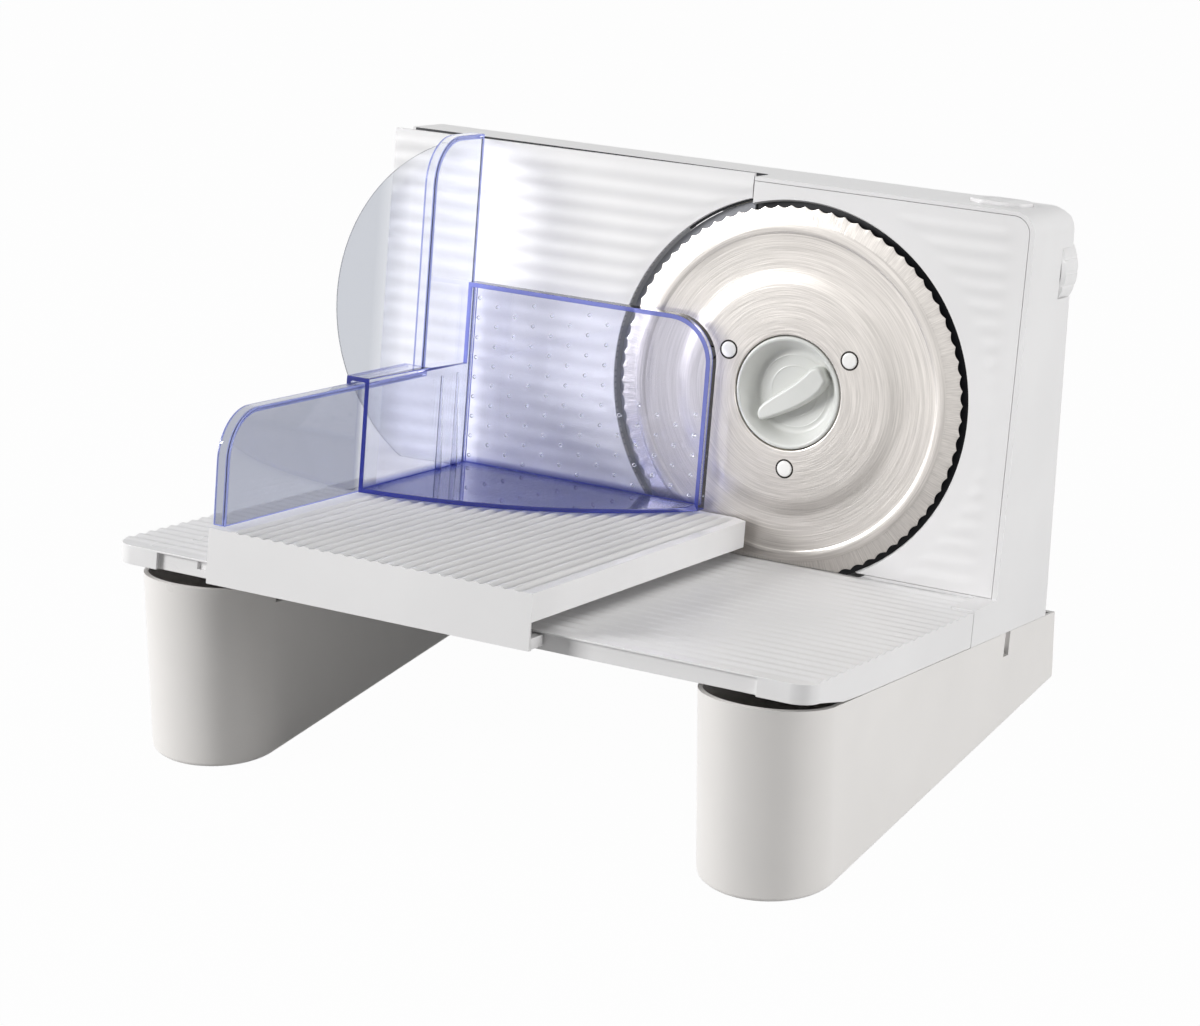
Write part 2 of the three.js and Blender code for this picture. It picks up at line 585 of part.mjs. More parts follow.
function buildHousing() {
  const low = STAND_TOP - SEAM_MARGIN;
  const side = outline([[WALL_FACE, low], [rearAt(low), low],
    [rearAt(AXIS_TO_TOP - SHELL_CHAMFER), AXIS_TO_TOP - SHELL_CHAMFER],
    [DEPTH_AT_TOP - SHELL_CHAMFER, AXIS_TO_TOP], [WALL_FACE, AXIS_TO_TOP]]);
  const behind = DEPTH_AT_SILL + 1;
  const front = rounded(-BODY_LEFT, low, AXIS_TO_RIGHT, AXIS_TO_TOP, [0, 0, PANEL_CORNER + BEZEL, 0]);
  const body = prism(side, 'x', -BODY_LEFT, AXIS_TO_RIGHT).intersect(prism(front, 'y', 0, behind));
  const left = -BODY_LEFT - 1;
  const plateBay = block([left, 0, SILL_TOP], [-PLATE_RIGHT + FIT, BEAM_FRONT, AXIS_TO_TOP + 1]);
  const outlet = block(
    [-BODY_LEFT + POST_WIDTH, BEAM_FRONT - 1, SILL_TOP],
    [-BOX_LEFT, behind, AXIS_TO_TOP - BEAM_DEPTH],
  );
  const beamChannel = block(
    [-BODY_LEFT + SHELL, BEAM_FRONT - 1, AXIS_TO_TOP - BEAM_DEPTH + SHELL],
    [-BOX_LEFT - SHELL, CARRIER_REST + PLATE_TRAVEL + CARRIER_BAR + RUNNING_GAP, SEAT_TOP],
  );
  const gapLeft = block([-PLATE_RIGHT, SEAT_DEPTH, SILL_TOP], [-BOX_LEFT, BEAM_FRONT, SEAT_TOP]);
  const seat = prism(rounded(-PLATE_RIGHT, BAY_BOTTOM, SEAT_RIGHT, SEAT_TOP, [0, 0, PANEL_CORNER, 0]),
    'y', 0, SEAT_DEPTH);
  const mouth = block([BAY_LEFT, 0, BAY_BOTTOM], [SEAT_RIGHT - LEDGE, behind, SEAT_TOP - LEDGE]);
  const bayCorners = [0, 0, PANEL_CORNER + BEZEL - SHELL, 0];
  const bay = prism(rounded(BAY_LEFT, BAY_BOTTOM, BAY_RIGHT, BAY_TOP, bayCorners), 'y',
    SEAT_DEPTH + LEDGE, behind);
  const well = bar(OPENING_RADIUS + FIT, -1, WELL_BACK + FIT, 0, 0, FINE);
  const drum = bar(DRUM_RADIUS, WELL_BACK + FIT, FRAME_BACK + 4 * FRAME_SHEET, 0, 0, FINE);
  const drumBay = bar(DRUM_RADIUS - SHELL, WELL_BACK, FRAME_BACK + 3 * FRAME_SHEET, 0, 0, FINE);
  const arm = block(
    [-BOX_LEFT - 2 * SHELL, CARRIER_REST - RUNNING_GAP, CARRIER_LEVEL - CARRIER_HEIGHT / 2 - RUNNING_GAP],
    [BAY_LEFT + 1, CARRIER_REST + PLATE_TRAVEL + CARRIER_BAR + RUNNING_GAP, CARRIER_LEVEL + CARRIER_HEIGHT],
  );
  const dialFront = rearAt(DIAL_HEIGHT) + DIAL_REAR_PROUD - DIAL_DEPTH - RUNNING_GAP;
  const dial = bar(DIAL_RADIUS + RUNNING_GAP, dialFront, behind, DIAL_X, DIAL_HEIGHT, FINE);
  const button = prism(ovalPlan(BUTTON_LENGTH / 2 + FIT, BUTTON_WIDTH / 2 + FIT), 'z', BAY_TOP - 1,
    AXIS_TO_TOP + 1);
  const toes = [[-AXIS_TO_LEFT, -AXIS_TO_LEFT + TOE_WIDTH], [AXIS_TO_RIGHT - TOE_WIDTH, AXIS_TO_RIGHT]].map(
    ([x0, x1]) => block([x0, -TOE_REACH, low], [x1, WALL_FACE + SHELL, TABLE_TOP]));
  const sillLeft = block([-AXIS_TO_LEFT, WALL_FACE, low], [-BODY_LEFT, rearAt(SILL_TOP), SILL_TOP]);
  const tabs = [leftLegOuter + LEG_WALL + FIT, rightLegOuter - 2 * LEG_WALL - FIT].map((x) => block(
    [x, WALL_FACE + SNAP_FROM_WALL - SNAP_WIDTH / 2, STAND_TOP - SNAP_DEPTH + SHELL],
    [x + LEG_WALL, WALL_FACE + SNAP_FROM_WALL + SNAP_WIDTH / 2, SILL_TOP - SHELL / 2],
  ));
  const postHollow = block(
    [-BODY_LEFT + SHELL, BEAM_FRONT + SHELL, SILL_TOP + SHELL],
    [-BODY_LEFT + POST_WIDTH - SHELL, behind, AXIS_TO_TOP - BEAM_DEPTH],
  );
  const sillHollow = block(
    [-AXIS_TO_LEFT + SHELL, WELL_BACK + SHELL, low - 1],
    [AXIS_TO_RIGHT - SHELL, rearAt(SILL_TOP) - SHELL, SILL_TOP - SHELL],
  );
  const hollowed = cut(body, plateBay, outlet, beamChannel, gapLeft, seat, mouth, postHollow);
  const withDrum = join(hollowed, cut(drum, block([BAY_LEFT, 0, -DRUM_RADIUS], [DRUM_RADIUS, behind,
    DRUM_RADIUS])));
  const opened = cut(withDrum, bay, well, drumBay, arm, dial, button);
  return join(cut(join(opened, sillLeft, ...toes), sillHollow, beyondSeam(-1, 0)), ...tabs);
}

/** Plan of the power button, an oval with straight sides. */
function ovalPlan(halfLength, halfWidth) {
  return rounded(BUTTON_X - halfLength, BUTTON_Y - halfWidth, BUTTON_X + halfLength, BUTTON_Y + halfWidth,
    [halfWidth, halfWidth, halfWidth, halfWidth]);
}
place(machine, 'main_housing', buildHousing(), 'shell');

// Ribbed wall: fixed panel round the blade, and the thickness plate beside it

/** Rows of ribs raised from the wall's face, clear of a ring round the blade. */
function wallRibs(x0, x1, z0, z1, ring) {
  const line = ribs(z0, z1, WALL_RIB_PITCH, 0, WALL_RIB_HEIGHT).map(([z, rise]) => [WALL_FACE - rise, z]);
  const profile = outline([[WALL_FACE + FIT, z0], [WALL_FACE + FIT, z1], ...line.reverse()]);
  return cut(prism(profile, 'x', x0, x1), bar(OPENING_RADIUS + ring, -PANEL_RING, PANEL_RING, 0, 0, FINE));
}

function buildPanel() {
  const left = -PLATE_RIGHT + FIT;
  const right = SEAT_RIGHT - FIT;
  const bottom = BAY_BOTTOM + FIT;
  const top = SEAT_TOP - FIT;
  const sheet = prism(rounded(left, bottom, right, top, [0, 0, PANEL_CORNER - FIT, 0]), 'y', WALL_FACE,
    PANEL_BACK);
  const rows = wallRibs(left, right - PANEL_BORDER, bottom + FIT, top - PANEL_BORDER / 2, PANEL_RING);
  const lip = OPENING_RADIUS - PANEL_LIP;
  const opening = turned([[0, -1], [OPENING_RADIUS, -1], [OPENING_RADIUS, WALL_FACE], [lip, PANEL_BACK],
    [lip, SEAT_DEPTH], [0, SEAT_DEPTH]], FINE);
  return cut(join(sheet, rows), opening);
}
place(machine, 'right_panel', buildPanel(), 'shell');

function buildPlate() {
  const left = -PLATE_LEFT;
  const right = -PLATE_RIGHT - FIT;
  const bottom = TABLE_TOP + FIT;
  const top = AXIS_TO_TOP + PLATE_RISE;
  const sheet = prism(outline([[left, bottom], [right, bottom], [right, top + PLATE_SLANT], [left, top]]),
    'y', WALL_FACE, PANEL_BACK);
  const rows = wallRibs(left + PLATE_WALL, right, bottom + FIT, top - PLATE_WALL, PLATE_WALL);
  const rimBack = PANEL_BACK + PLATE_RIM;
  const reach = OPENING_RADIUS + PLATE_WALL;
  const rim = bar(reach, WALL_FACE, rimBack, 0, 0, FINE).intersect(
    block([-reach - 1, 0, -PLATE_RIM_HALF], [right, rimBack + 1, PLATE_RIM_HALF]));
  return cut(join(sheet, rows, rim), bar(OPENING_RADIUS, -1, rimBack + 1, 0, 0, FINE));
}
place(machine, 'thickness_plate', buildPlate(), 'shell');

/** Dark dish behind the blade's right half, round the hub in the middle. */
function buildWell() {
  const rim = OPENING_RADIUS;
  const dish = turned([[0, WELL_DEPTH], [rim - WELL_SHEET, WELL_DEPTH], [rim - WELL_SHEET, SEAT_DEPTH],
    [rim, SEAT_DEPTH], [rim, WELL_BACK], [0, WELL_BACK]], FINE);
  const reach = OPENING_RADIUS + BLADE_GAP;
  const right = block([BAY_LEFT + FIT, 0, BAY_BOTTOM + FIT], [reach, WELL_BACK + 1, reach]);
  const hub = bar(DRUM_RADIUS - FIT, WELL_DEPTH, WELL_BACK, 0, 0, FINE);
  const bore = bar(SPINDLE_RADIUS + BUSH_WALL + 2 * FIT, 0, WELL_BACK + 1);
  return cut(join(dish.intersect(right), hub), bore);
}
place(machine, 'blade_well', buildWell(), 'dark');

// Blade: a toothed steel disc on a plastic hub, held by three rivets and a lock knob

const bladeBack = BLADE_SHEET / 2;
const bladeFront = -BLADE_SHEET / 2;
const bladeFace = bladeFront - STEP_HEIGHT;
const knobSeat = KNOB_RADIUS + FIT;
const rivetPlaces = Array.from({ length: RIVET_COUNT }, (_, i) => {
  const angle = THREE.MathUtils.degToRad(RIVET_PHASE_DEG + (360 * i) / RIVET_COUNT);
  return [RIVET_CIRCLE * Math.cos(angle), RIVET_CIRCLE * Math.sin(angle)];
});

function buildBlade() {
  const bevel = BLADE_RADIUS - BEVEL_WIDTH;
  const bead = bevel - BEAD_WIDTH;
  const body = turned([[BLADE_RADIUS + 1, bladeBack - FIT], [bevel, bladeFront],
    [bevel - BEAD_WIDTH / 2, bladeFront - BEAD_HEIGHT], [bead, bladeFront],
    [STEP_RADIUS + STEP_HEIGHT * 4, bladeFront], [STEP_RADIUS, bladeFace], [knobSeat, bladeFace],
    [knobSeat, bladeBack - STEP_HEIGHT], [STEP_RADIUS, bladeBack - STEP_HEIGHT],
    [STEP_RADIUS + STEP_HEIGHT * 4, bladeBack], [BLADE_RADIUS + 1, bladeBack],
    [BLADE_RADIUS + 1, bladeBack - FIT]], FINE);
  const points = [];
  for (let i = 0; i < TOOTH_COUNT * TOOTH_DIPS.length; i += 1) {
    const angle = (2 * Math.PI * i) / (TOOTH_COUNT * TOOTH_DIPS.length);
    const radius = BLADE_RADIUS - TOOTH_DEPTH * TOOTH_DIPS[i % TOOTH_DIPS.length];
    points.push([radius * Math.cos(angle), radius * Math.sin(angle)]);
  }
  const teeth = prism(outline(points), 'y', -HUB_FLANGE, HUB_FLANGE);
  const holes = rivetPlaces.map(([x, z]) => bar(RIVET_SHANK + FIT, -HUB_FLANGE, HUB_FLANGE, x, z,
    ROUND / 2));
  return cut(body.intersect(teeth), ...holes);
}
place(machine, 'blade_disc', buildBlade(), 'steel');

const flangeFront = bladeBack - STEP_HEIGHT + FIT;
const knobBack = KNOB_DISH + KNOB_SHEET;
const hubFloor = knobBack + FIT;

function buildHub() {
  const flangeBack = flangeFront + HUB_FLANGE_SHEET;
  const outer = knobSeat + FIT + HUB_WALL;
  const body = turned([[SPINDLE_RADIUS + FIT, hubFloor], [knobSeat + FIT, hubFloor], [knobSeat + FIT,
    flangeFront],
    [HUB_FLANGE, flangeFront], [HUB_FLANGE, flangeBack], [outer, flangeBack], [outer, hubFloor + HUB_FLOOR],
    [SPINDLE_RADIUS + FIT, hubFloor + HUB_FLOOR], [SPINDLE_RADIUS + FIT, hubFloor]], FINE / 2);
  const holes = rivetPlaces.map(([x, z]) => bar(RIVET_SHANK + FIT, -HUB_FLANGE, HUB_FLANGE, x, z,
    ROUND / 2));
  return cut(body, ...holes);
}
place(machine, 'blade_hub', buildHub(), 'nylon');

rivetPlaces.forEach(([x, z], i) => {
  const front = bladeFace - FIT;
  const back = flangeFront + HUB_FLANGE_SHEET + FIT;
  const crown = RIVET_SHANK / 2;
  const shoulder = RIVET_HEAD - crown;
  const rivet = turned([[0, front - crown], [shoulder, front - crown], [RIVET_HEAD, front - crown / 3],
    [RIVET_HEAD, front], [RIVET_SHANK, front], [RIVET_SHANK, back], [RIVET_HEAD, back],
    [RIVET_HEAD, back + crown], [0, back + crown]], ROUND * 2 / 3, x, z);
  place(machine, `blade_rivet_${i + 1}`, rivet, 'steel');
});

function buildKnob() {
  const front = -KNOB_PROUD;
  const rim = KNOB_RADIUS - KNOB_RIM;
  const round = KNOB_RIM / 3;
  const cup = turned([[0, KNOB_DISH], [KNOB_FLOOR, KNOB_DISH], [rim, front + KNOB_RIM / 2],
    [rim + round, front],
    [KNOB_RADIUS - round, front], [KNOB_RADIUS, front + KNOB_RIM / 2], [KNOB_RADIUS, knobBack], [0,
    knobBack]], FINE);
  const low = -GRIP_SAG / 2;
  const grip = new THREE.Shape();
  grip.moveTo(-GRIP_TIP, low);
  grip.bezierCurveTo(-GRIP_TIP, -low, 0, 0, GRIP_CREST, GRIP_RISE);
  grip.bezierCurveTo(GRIP_END, GRIP_RISE, GRIP_END, GRIP_RISE / 2, GRIP_END, low / 2);
  grip.bezierCurveTo(GRIP_CREST, -GRIP_SAG, 0, -GRIP_SAG, -GRIP_HEEL, low - KNOB_RIM);
  const fin = prism(grip, 'y', 0, KNOB_DISH + KNOB_SHEET / 2).rotate([0, -GRIP_ANGLE_DEG, 0]);
  return join(cup, fin.intersect(bar(rim + KNOB_RIM / 2, -1, knobBack, 0, 0, FINE)));
}
place(machine, 'lock_knob', buildKnob(), 'shell');

// Drive: spindle in two bushes, worm gear on the spindle, worm on the motor's shaft

const bushOuter = SPINDLE_RADIUS + FIT + BUSH_WALL;
const frameFront = WELL_BACK + FIT;
const spindleBack = FRAME_BACK + FRAME_SHEET + FIT;

place(machine, 'drive_spindle', bar(SPINDLE_RADIUS, hubFloor, spindleBack), 'zinc');

/** A plain bush about y between two depths. */
function bush(y0, y1) {
  const bore = SPINDLE_RADIUS + SHAFT_FIT;
  return turned([[bore, y0], [bushOuter, y0], [bushOuter, y1], [bore, y1], [bore, y0]]);
}
place(machine, 'front_bush', bush(WELL_DEPTH, frameFront + FRAME_SHEET), 'bronze');
place(machine, 'rear_bush', bush(FRAME_BACK, FRAME_BACK + FRAME_SHEET), 'bronze');

/** Worm gear: straight-sided teeth twisted to the worm's lead. */
function buildGear() {
  const pitch = (2 * Math.PI) / GEAR_TEETH;
  const root = GEAR_PITCH_RADIUS - TOOTH_DEDENDUM;
  const tip = GEAR_PITCH_RADIUS + TOOTH_ADDENDUM;
  const points = [];
  for (let i = 0; i < GEAR_TEETH; i += 1) {
    const middle = (i + 0.5) * pitch;
    const flanks = [[-TOOTH_ROOT_SHARE, root], [-TOOTH_TIP_SHARE, tip], [TOOTH_TIP_SHARE, tip],
      [TOOTH_ROOT_SHARE, root]];
    flanks.forEach(([share, radius]) => {
      const angle = middle + share * pitch;
      points.push([radius * Math.cos(angle), radius * Math.sin(angle)]);
    });
  }
  const shape = outline(points);
  const bore = new THREE.Path();
  bore.absarc(0, 0, SPINDLE_RADIUS + FIT, 0, 2 * Math.PI, true);
  shape.holes.push(bore);
  const options = { depth: GEAR_WIDTH, bevelEnabled: false, curveSegments: ROUND };
  const geometry = new THREE.ExtrudeGeometry(shape, options).applyMatrix4(ALONG.y);
  const spots = geometry.attributes.position;
  const leadAngle = Math.atan2(WORM_LEAD, 2 * Math.PI * WORM_RADIUS);
  const point = new THREE.Vector3();
  const axis = new THREE.Vector3(0, 1, 0);
  for (let i = 0; i < spots.count; i += 1) {
    point.fromBufferAttribute(spots, i);
    const twist = (Math.tan(leadAngle) * (point.y + GEAR_WIDTH / 2)) / GEAR_PITCH_RADIUS;
    point.applyAxisAngle(axis, twist);
    spots.setXYZ(i, point.x, point.y, point.z);
  }
  return solid(geometry.translate(0, GEAR_FRONT + GEAR_WIDTH, 0));
}
place(machine, 'worm_gear', buildGear(), 'nylon');

/** Worm: a right-hand thread round the motor's shaft, one start. */
function buildWorm() {
  const turns = WORM_LENGTH / WORM_LEAD;
  const half = (THREAD_SHARE * WORM_LEAD) / 2;
  const section = [[WORM_CORE - 1, -half * 1.5], [WORM_RADIUS, -half], [WORM_RADIUS, half],
    [WORM_CORE - 1, half * 1.5]];
  const count = Math.round(turns * THREAD_STEPS);
  const positions = [];
  for (let i = 0; i <= count; i += 1) {
    const angle = (2 * Math.PI * i) / THREAD_STEPS;
    const level = -WORM_LENGTH / 2 + (WORM_LEAD * i) / THREAD_STEPS;
    const phase = Math.PI + angle - (2 * Math.PI * WORM_LENGTH) / (2 * WORM_LEAD);
    section.forEach(([r, h]) => positions.push(r * Math.cos(phase), r * Math.sin(phase), level + h));
  }
  const index = [];
  const ring = section.length;
  for (let i = 0; i < count; i += 1) {
    for (let k = 0; k < ring; k += 1) {
      const a = i * ring + k;
      const b = i * ring + ((k + 1) % ring);
      index.push(a, b, a + ring, b, b + ring, a + ring);
    }
  }
  const last = count * ring;
  index.push(0, 2, 1, 0, 3, 2, last, last + 1, last + 2, last, last + 2, last + 3);
  const thread = new THREE.BufferGeometry();
  thread.setAttribute('position', new THREE.Float32BufferAttribute(positions, 3));
  thread.setIndex(index);
  const threadEnd = WORM_LENGTH / 2 + WORM_LEAD / 2;
  const shaft = turnedUpright([[0, -MOTOR_TOP - SHELL], [WORM_SHAFT, -MOTOR_TOP - SHELL], [WORM_SHAFT,
    -threadEnd],
    [WORM_CORE, -threadEnd], [WORM_CORE, threadEnd], [WORM_SHAFT, threadEnd], [WORM_SHAFT,
    threadEnd + 3 * SHELL],
    [0, threadEnd + 3 * SHELL]], ROUND, WORM_X, GEAR_MIDDLE);
  return join(shaft, solid(thread.translate(WORM_X, GEAR_MIDDLE, 0)));
}
place(machine, 'worm_shaft', buildWorm(), 'zinc');

const lugLevel = WORM_LENGTH / 2 + WORM_LEAD / 2 + SHELL;
const frameRight = WORM_X + MOTOR_RADIUS + FRAME_SHEET;

/** Gear frame: a bent sheet that holds both bushes, the motor and the upper motor bush. */
function buildFrame() {
  const left = BAY_LEFT + 2 * FIT;
  const front = block([left, frameFront, -MOTOR_TOP], [frameRight, frameFront + FRAME_SHEET,
    FRAME_TOP + FRAME_SHEET]);
  const top = block([left, frameFront, FRAME_TOP], [frameRight, FRAME_BACK + FRAME_SHEET,
    FRAME_TOP + FRAME_SHEET]);
  const back = block([left, FRAME_BACK, -MOTOR_TOP / 2], [-left, FRAME_BACK + FRAME_SHEET,
    FRAME_TOP + FRAME_SHEET]);
  const shelfLeft = WORM_X - MOTOR_RADIUS;
  const shelf = block([shelfLeft, frameFront, -MOTOR_TOP], [frameRight, GEAR_MIDDLE + MOTOR_RADIUS,
    -MOTOR_TOP + FRAME_SHEET]);
  const lug = block(
    [WORM_X - WORM_RADIUS + SHELL, frameFront, lugLevel],
    [frameRight, GEAR_MIDDLE + WORM_RADIUS, lugLevel + FRAME_SHEET],
  );
  const bores = [bar(bushOuter + FIT, 0, FRAME_BACK + SHELL * 2),
    turnedUpright([[0, -MOTOR_TOP - 1], [WORM_SHAFT + 2, -MOTOR_TOP - 1], [WORM_SHAFT + 2,
    lugLevel + 2 * FRAME_SHEET],
      [0, lugLevel + 2 * FRAME_SHEET]], ROUND, WORM_X, GEAR_MIDDLE)];
  return cut(join(front, top, back, shelf, lug), ...bores);
}
place(machine, 'gear_frame', buildFrame(), 'zinc');

const motorBore = WORM_SHAFT + SHAFT_FIT;
const motorBushOuter = WORM_SHAFT + 2 - FIT;
place(machine, 'motor_bush', turnedUpright([[motorBore, lugLevel], [motorBushOuter, lugLevel],
  [motorBushOuter, lugLevel + FRAME_SHEET], [motorBore, lugLevel + FRAME_SHEET], [motorBore, lugLevel]],
ROUND, WORM_X, GEAR_MIDDLE), 'bronze');

const motorTop = -MOTOR_TOP - FIT;
const motorBottom = BAY_BOTTOM + MOTOR_CLEAR + MOTOR_CAP;
place(machine, 'motor_body', turnedUpright([[WORM_SHAFT + 2 * FIT, motorTop], [MOTOR_RADIUS - 2, motorTop],
  [MOTOR_RADIUS, motorTop - 2], [MOTOR_RADIUS, motorBottom], [0, motorBottom], [0, motorTop - SHELL - FIT],
  [WORM_SHAFT + 2 * FIT, motorTop - SHELL - FIT], [WORM_SHAFT + 2 * FIT, motorTop]], ROUND * 1.5,
  WORM_X, GEAR_MIDDLE), 'zinc');
place(machine, 'motor_cap', turnedUpright([[0, motorBottom - FIT], [MOTOR_RADIUS, motorBottom - FIT],
  [MOTOR_RADIUS - 2, motorBottom - MOTOR_CAP], [0, motorBottom - MOTOR_CAP]], ROUND * 1.5, WORM_X,
  GEAR_MIDDLE), 'dark');

// Thickness setting: the dial's cam drum moves the carrier, which carries the plate on two rods

const dialBack = rearAt(DIAL_HEIGHT) + DIAL_REAR_PROUD;
const dialFront = dialBack - DIAL_DEPTH;
const camBack = dialFront - FIT;
const camFront = camBack - CAM_LENGTH;
const pinRest = CARRIER_REST + CARRIER_BAR / 2;

function buildDial() {
  const edge = 2;
  const body = turned([[0, dialFront], [DIAL_RADIUS - edge, dialFront], [DIAL_RADIUS, dialFront + edge],
    [DIAL_RADIUS, dialBack - edge], [DIAL_RADIUS - edge, dialBack], [0, dialBack]], FINE, DIAL_X,
    DIAL_HEIGHT);
  const grooves = Array.from({ length: DIAL_GROOVES }, (_, i) => {
    const angle = (2 * Math.PI * i) / DIAL_GROOVES;
    const reach = DIAL_RADIUS + edge / 2;
    return bar(edge * 0.75, dialFront - 1, dialBack + 1,
      DIAL_X + reach * Math.cos(angle), DIAL_HEIGHT + reach * Math.sin(angle), 6);
  });
  return cut(body, ...grooves);
}
place(machine, 'thickness_dial', buildDial(), 'shell');

/** Helix of the cam's groove on the drum, run on a little past both ends of the travel. */
class CamPath extends THREE.Curve {
  getPoint(t, target = new THREE.Vector3()) {
    const sweep = DIAL_TURN_DEG + 2 * CAM_OVERRUN_DEG;
    const turn = THREE.MathUtils.degToRad(-DIAL_TURN_DEG - CAM_OVERRUN_DEG + sweep * t);
    const lead = PLATE_TRAVEL / THREE.MathUtils.degToRad(DIAL_TURN_DEG);
    return target.set(DIAL_X + CAM_RADIUS * Math.sin(turn), pinRest - lead * turn,
      DIAL_HEIGHT + CAM_RADIUS * Math.cos(turn));
  }
}

function buildCam() {
  const drum = bar(CAM_RADIUS, camFront, camBack, DIAL_X, DIAL_HEIGHT, ROUND * 1.5);
  const section = new THREE.Shape();
  section.absarc(0, 0, CAM_GROOVE, 0, 2 * Math.PI);
  const options = {
    steps: CAM_STEPS, bevelEnabled: false, extrudePath: new CamPath(), curveSegments: ROUND / 3,
  };
  return cut(drum, solid(new THREE.ExtrudeGeometry(section, options)));
}
place(machine, 'dial_cam', buildCam(), 'nylon');

function buildCarrier() {
  const z0 = CARRIER_LEVEL - CARRIER_HEIGHT / 2;
  const z1 = CARRIER_LEVEL + CARRIER_HEIGHT / 2;
  const left = -POST_LEFT - POST_THICK;
  const right = DIAL_X + CARRIER_BAR / 2;
  const arm = block([left, CARRIER_REST, z0], [right, CARRIER_REST + CARRIER_BAR, z1]);
  const posts = [POST_LEFT, POST_RIGHT].map((x) => block(
    [-x - POST_THICK / 2, PANEL_BACK + FIT, z0], [-x + POST_THICK / 2, CARRIER_REST + 1, z1]));
  const pinBottom = DIAL_HEIGHT + CAM_RADIUS - PIN_DEPTH;
  const pin = turnedUpright([[0, pinBottom], [PIN_RADIUS, pinBottom], [PIN_RADIUS, z0 + 1], [0, z0 + 1]],
    ROUND / 2, DIAL_X, pinRest);
  const holes = [ROD_LEFT, ROD_RIGHT].map((x) => bar(ROD_RADIUS + SHAFT_FIT, 0, DEPTH_AT_SILL, -x,
    CARRIER_LEVEL));
  return cut(join(arm, ...posts, pin), ...holes);
}
place(machine, 'plate_carrier', buildCarrier(), 'nylon');

const rodBack = CARRIER_REST + PLATE_TRAVEL + CARRIER_BAR + RUNNING_GAP - FIT;
const rodFront = PANEL_BACK + PLATE_TRAVEL + RUNNING_GAP;
place(machine, 'left_guide_rod', bar(ROD_RADIUS, rodFront, rodBack, -ROD_LEFT, CARRIER_LEVEL), 'steel');
place(machine, 'right_guide_rod', bar(ROD_RADIUS, rodFront, rodBack, -ROD_RIGHT, CARRIER_LEVEL), 'steel');

// Power button on the top, with its micro switch

function buildButton() {
  const top = AXIS_TO_TOP + BUTTON_PROUD;
  const stem = prism(ovalPlan(BUTTON_LENGTH / 2, BUTTON_WIDTH / 2), 'z', BAY_TOP - BUTTON_FLANGE - FIT,
    top);
  const flange = prism(ovalPlan(BUTTON_LENGTH / 2 + BUTTON_FLANGE, BUTTON_WIDTH / 2 + BUTTON_FLANGE),
    'z', BAY_TOP - BUTTON_FLANGE - FIT, BAY_TOP - FIT);
  const dish = solid(new THREE.SphereGeometry(BUTTON_DISH, ROUND * 2, ROUND)
    .translate(BUTTON_X, BUTTON_Y, top + BUTTON_DISH - BUTTON_DIP));
  const low = BAY_TOP - BUTTON_FLANGE - FIT;
  const fingerBack = BUTTON_Y + BUTTON_WIDTH / 2 + BUTTON_FLANGE;
  const finger = block([SWITCH_X - FINGER_WIDTH / 2, fingerBack - FINGER_WIDTH, low], [BUTTON_X,
    fingerBack, BAY_TOP - FIT]);
  const pad = block([SWITCH_X - FINGER_WIDTH / 2, fingerBack - FINGER_WIDTH, low],
    [SWITCH_X + FINGER_WIDTH / 2, fingerBack + FINGER_WIDTH, BAY_TOP - FIT]);
  return join(cut(join(stem, flange), dish), finger, pad);
}
place(machine, 'power_button', buildButton(), 'shell');

const switchTop = BAY_TOP - BUTTON_FLANGE - BUTTON_TRAVEL - 2 * FIT;
const switchBack = rearAt(switchTop) - COVER_SHEET - 2 * FIT;
place(machine, 'micro_switch', block(
  [SWITCH_X - SWITCH_SIZE[0] / 2, switchBack - SWITCH_SIZE[1], switchTop - SWITCH_SIZE[2]],
  [SWITCH_X + SWITCH_SIZE[0] / 2, switchBack, switchTop],
), 'dark');

// Rear cover: a sloping sheet with vents, screw seats, the dial's opening and the cord's inlet

/** A sloping slab along the housing's rear face, from one distance inside it to another. */
function rearSlab(x0, x1, z0, z1, near, far) {
  return prism(outline([[rearAt(z0) - far, z0], [rearAt(z0) - near, z0], [rearAt(z1) - near, z1],
    [rearAt(z1) - far, z1]]), 'x', x0, x1);
}

const coverTop = BAY_TOP - SHELL_CHAMFER;
const coverScrews = [[BAY_LEFT + SCREW_INSET, BAY_BOTTOM + SCREW_INSET], [BAY_RIGHT - SCREW_INSET,
  BAY_BOTTOM + SCREW_INSET],
  [BAY_LEFT + SCREW_INSET, coverTop - SCREW_INSET], [BAY_RIGHT - SCREW_INSET, 0]];

function buildCover() {
  const sheet = rearSlab(BAY_LEFT + FIT, BAY_RIGHT - FIT, BAY_BOTTOM + FIT, coverTop, 0, COVER_SHEET);
  const vents = Array.from({ length: VENT_COUNT }, (_, i) => {
    const level = VENT_LEVEL + VENT_PITCH * i;
    return block([WORM_X - VENT_LENGTH / 2, 0, level], [WORM_X + VENT_LENGTH / 2, DEPTH_AT_SILL + 1,
      level + VENT_SLOT]);
  });
  const dial = bar(DIAL_RADIUS + RUNNING_GAP, 0, DEPTH_AT_SILL, DIAL_X, DIAL_HEIGHT, FINE);
  const screws = coverScrews.map(([x, z]) => bar(SCREW_HEAD + FIT, rearAt(z) - COVER_SHEET / 2,
    DEPTH_AT_SILL, x, z));
  const shanks = coverScrews.map(([x, z]) => bar(SCREW_SHANK + FIT, 0, DEPTH_AT_SILL, x, z, ROUND / 2));
  const gland = bar(GLAND_RADIUS - COVER_SHEET / 2 + FIT, 0, DEPTH_AT_SILL + 1, GLAND_X, GLAND_LEVEL);
  const corner = block([DIAL_X, 0, DIAL_HEIGHT], [BAY_RIGHT, DEPTH_AT_SILL, AXIS_TO_TOP]);
  return cut(sheet, ...vents, dial, corner, ...screws, ...shanks, gland);
}
place(machine, 'rear_cover', buildCover(), 'shell');

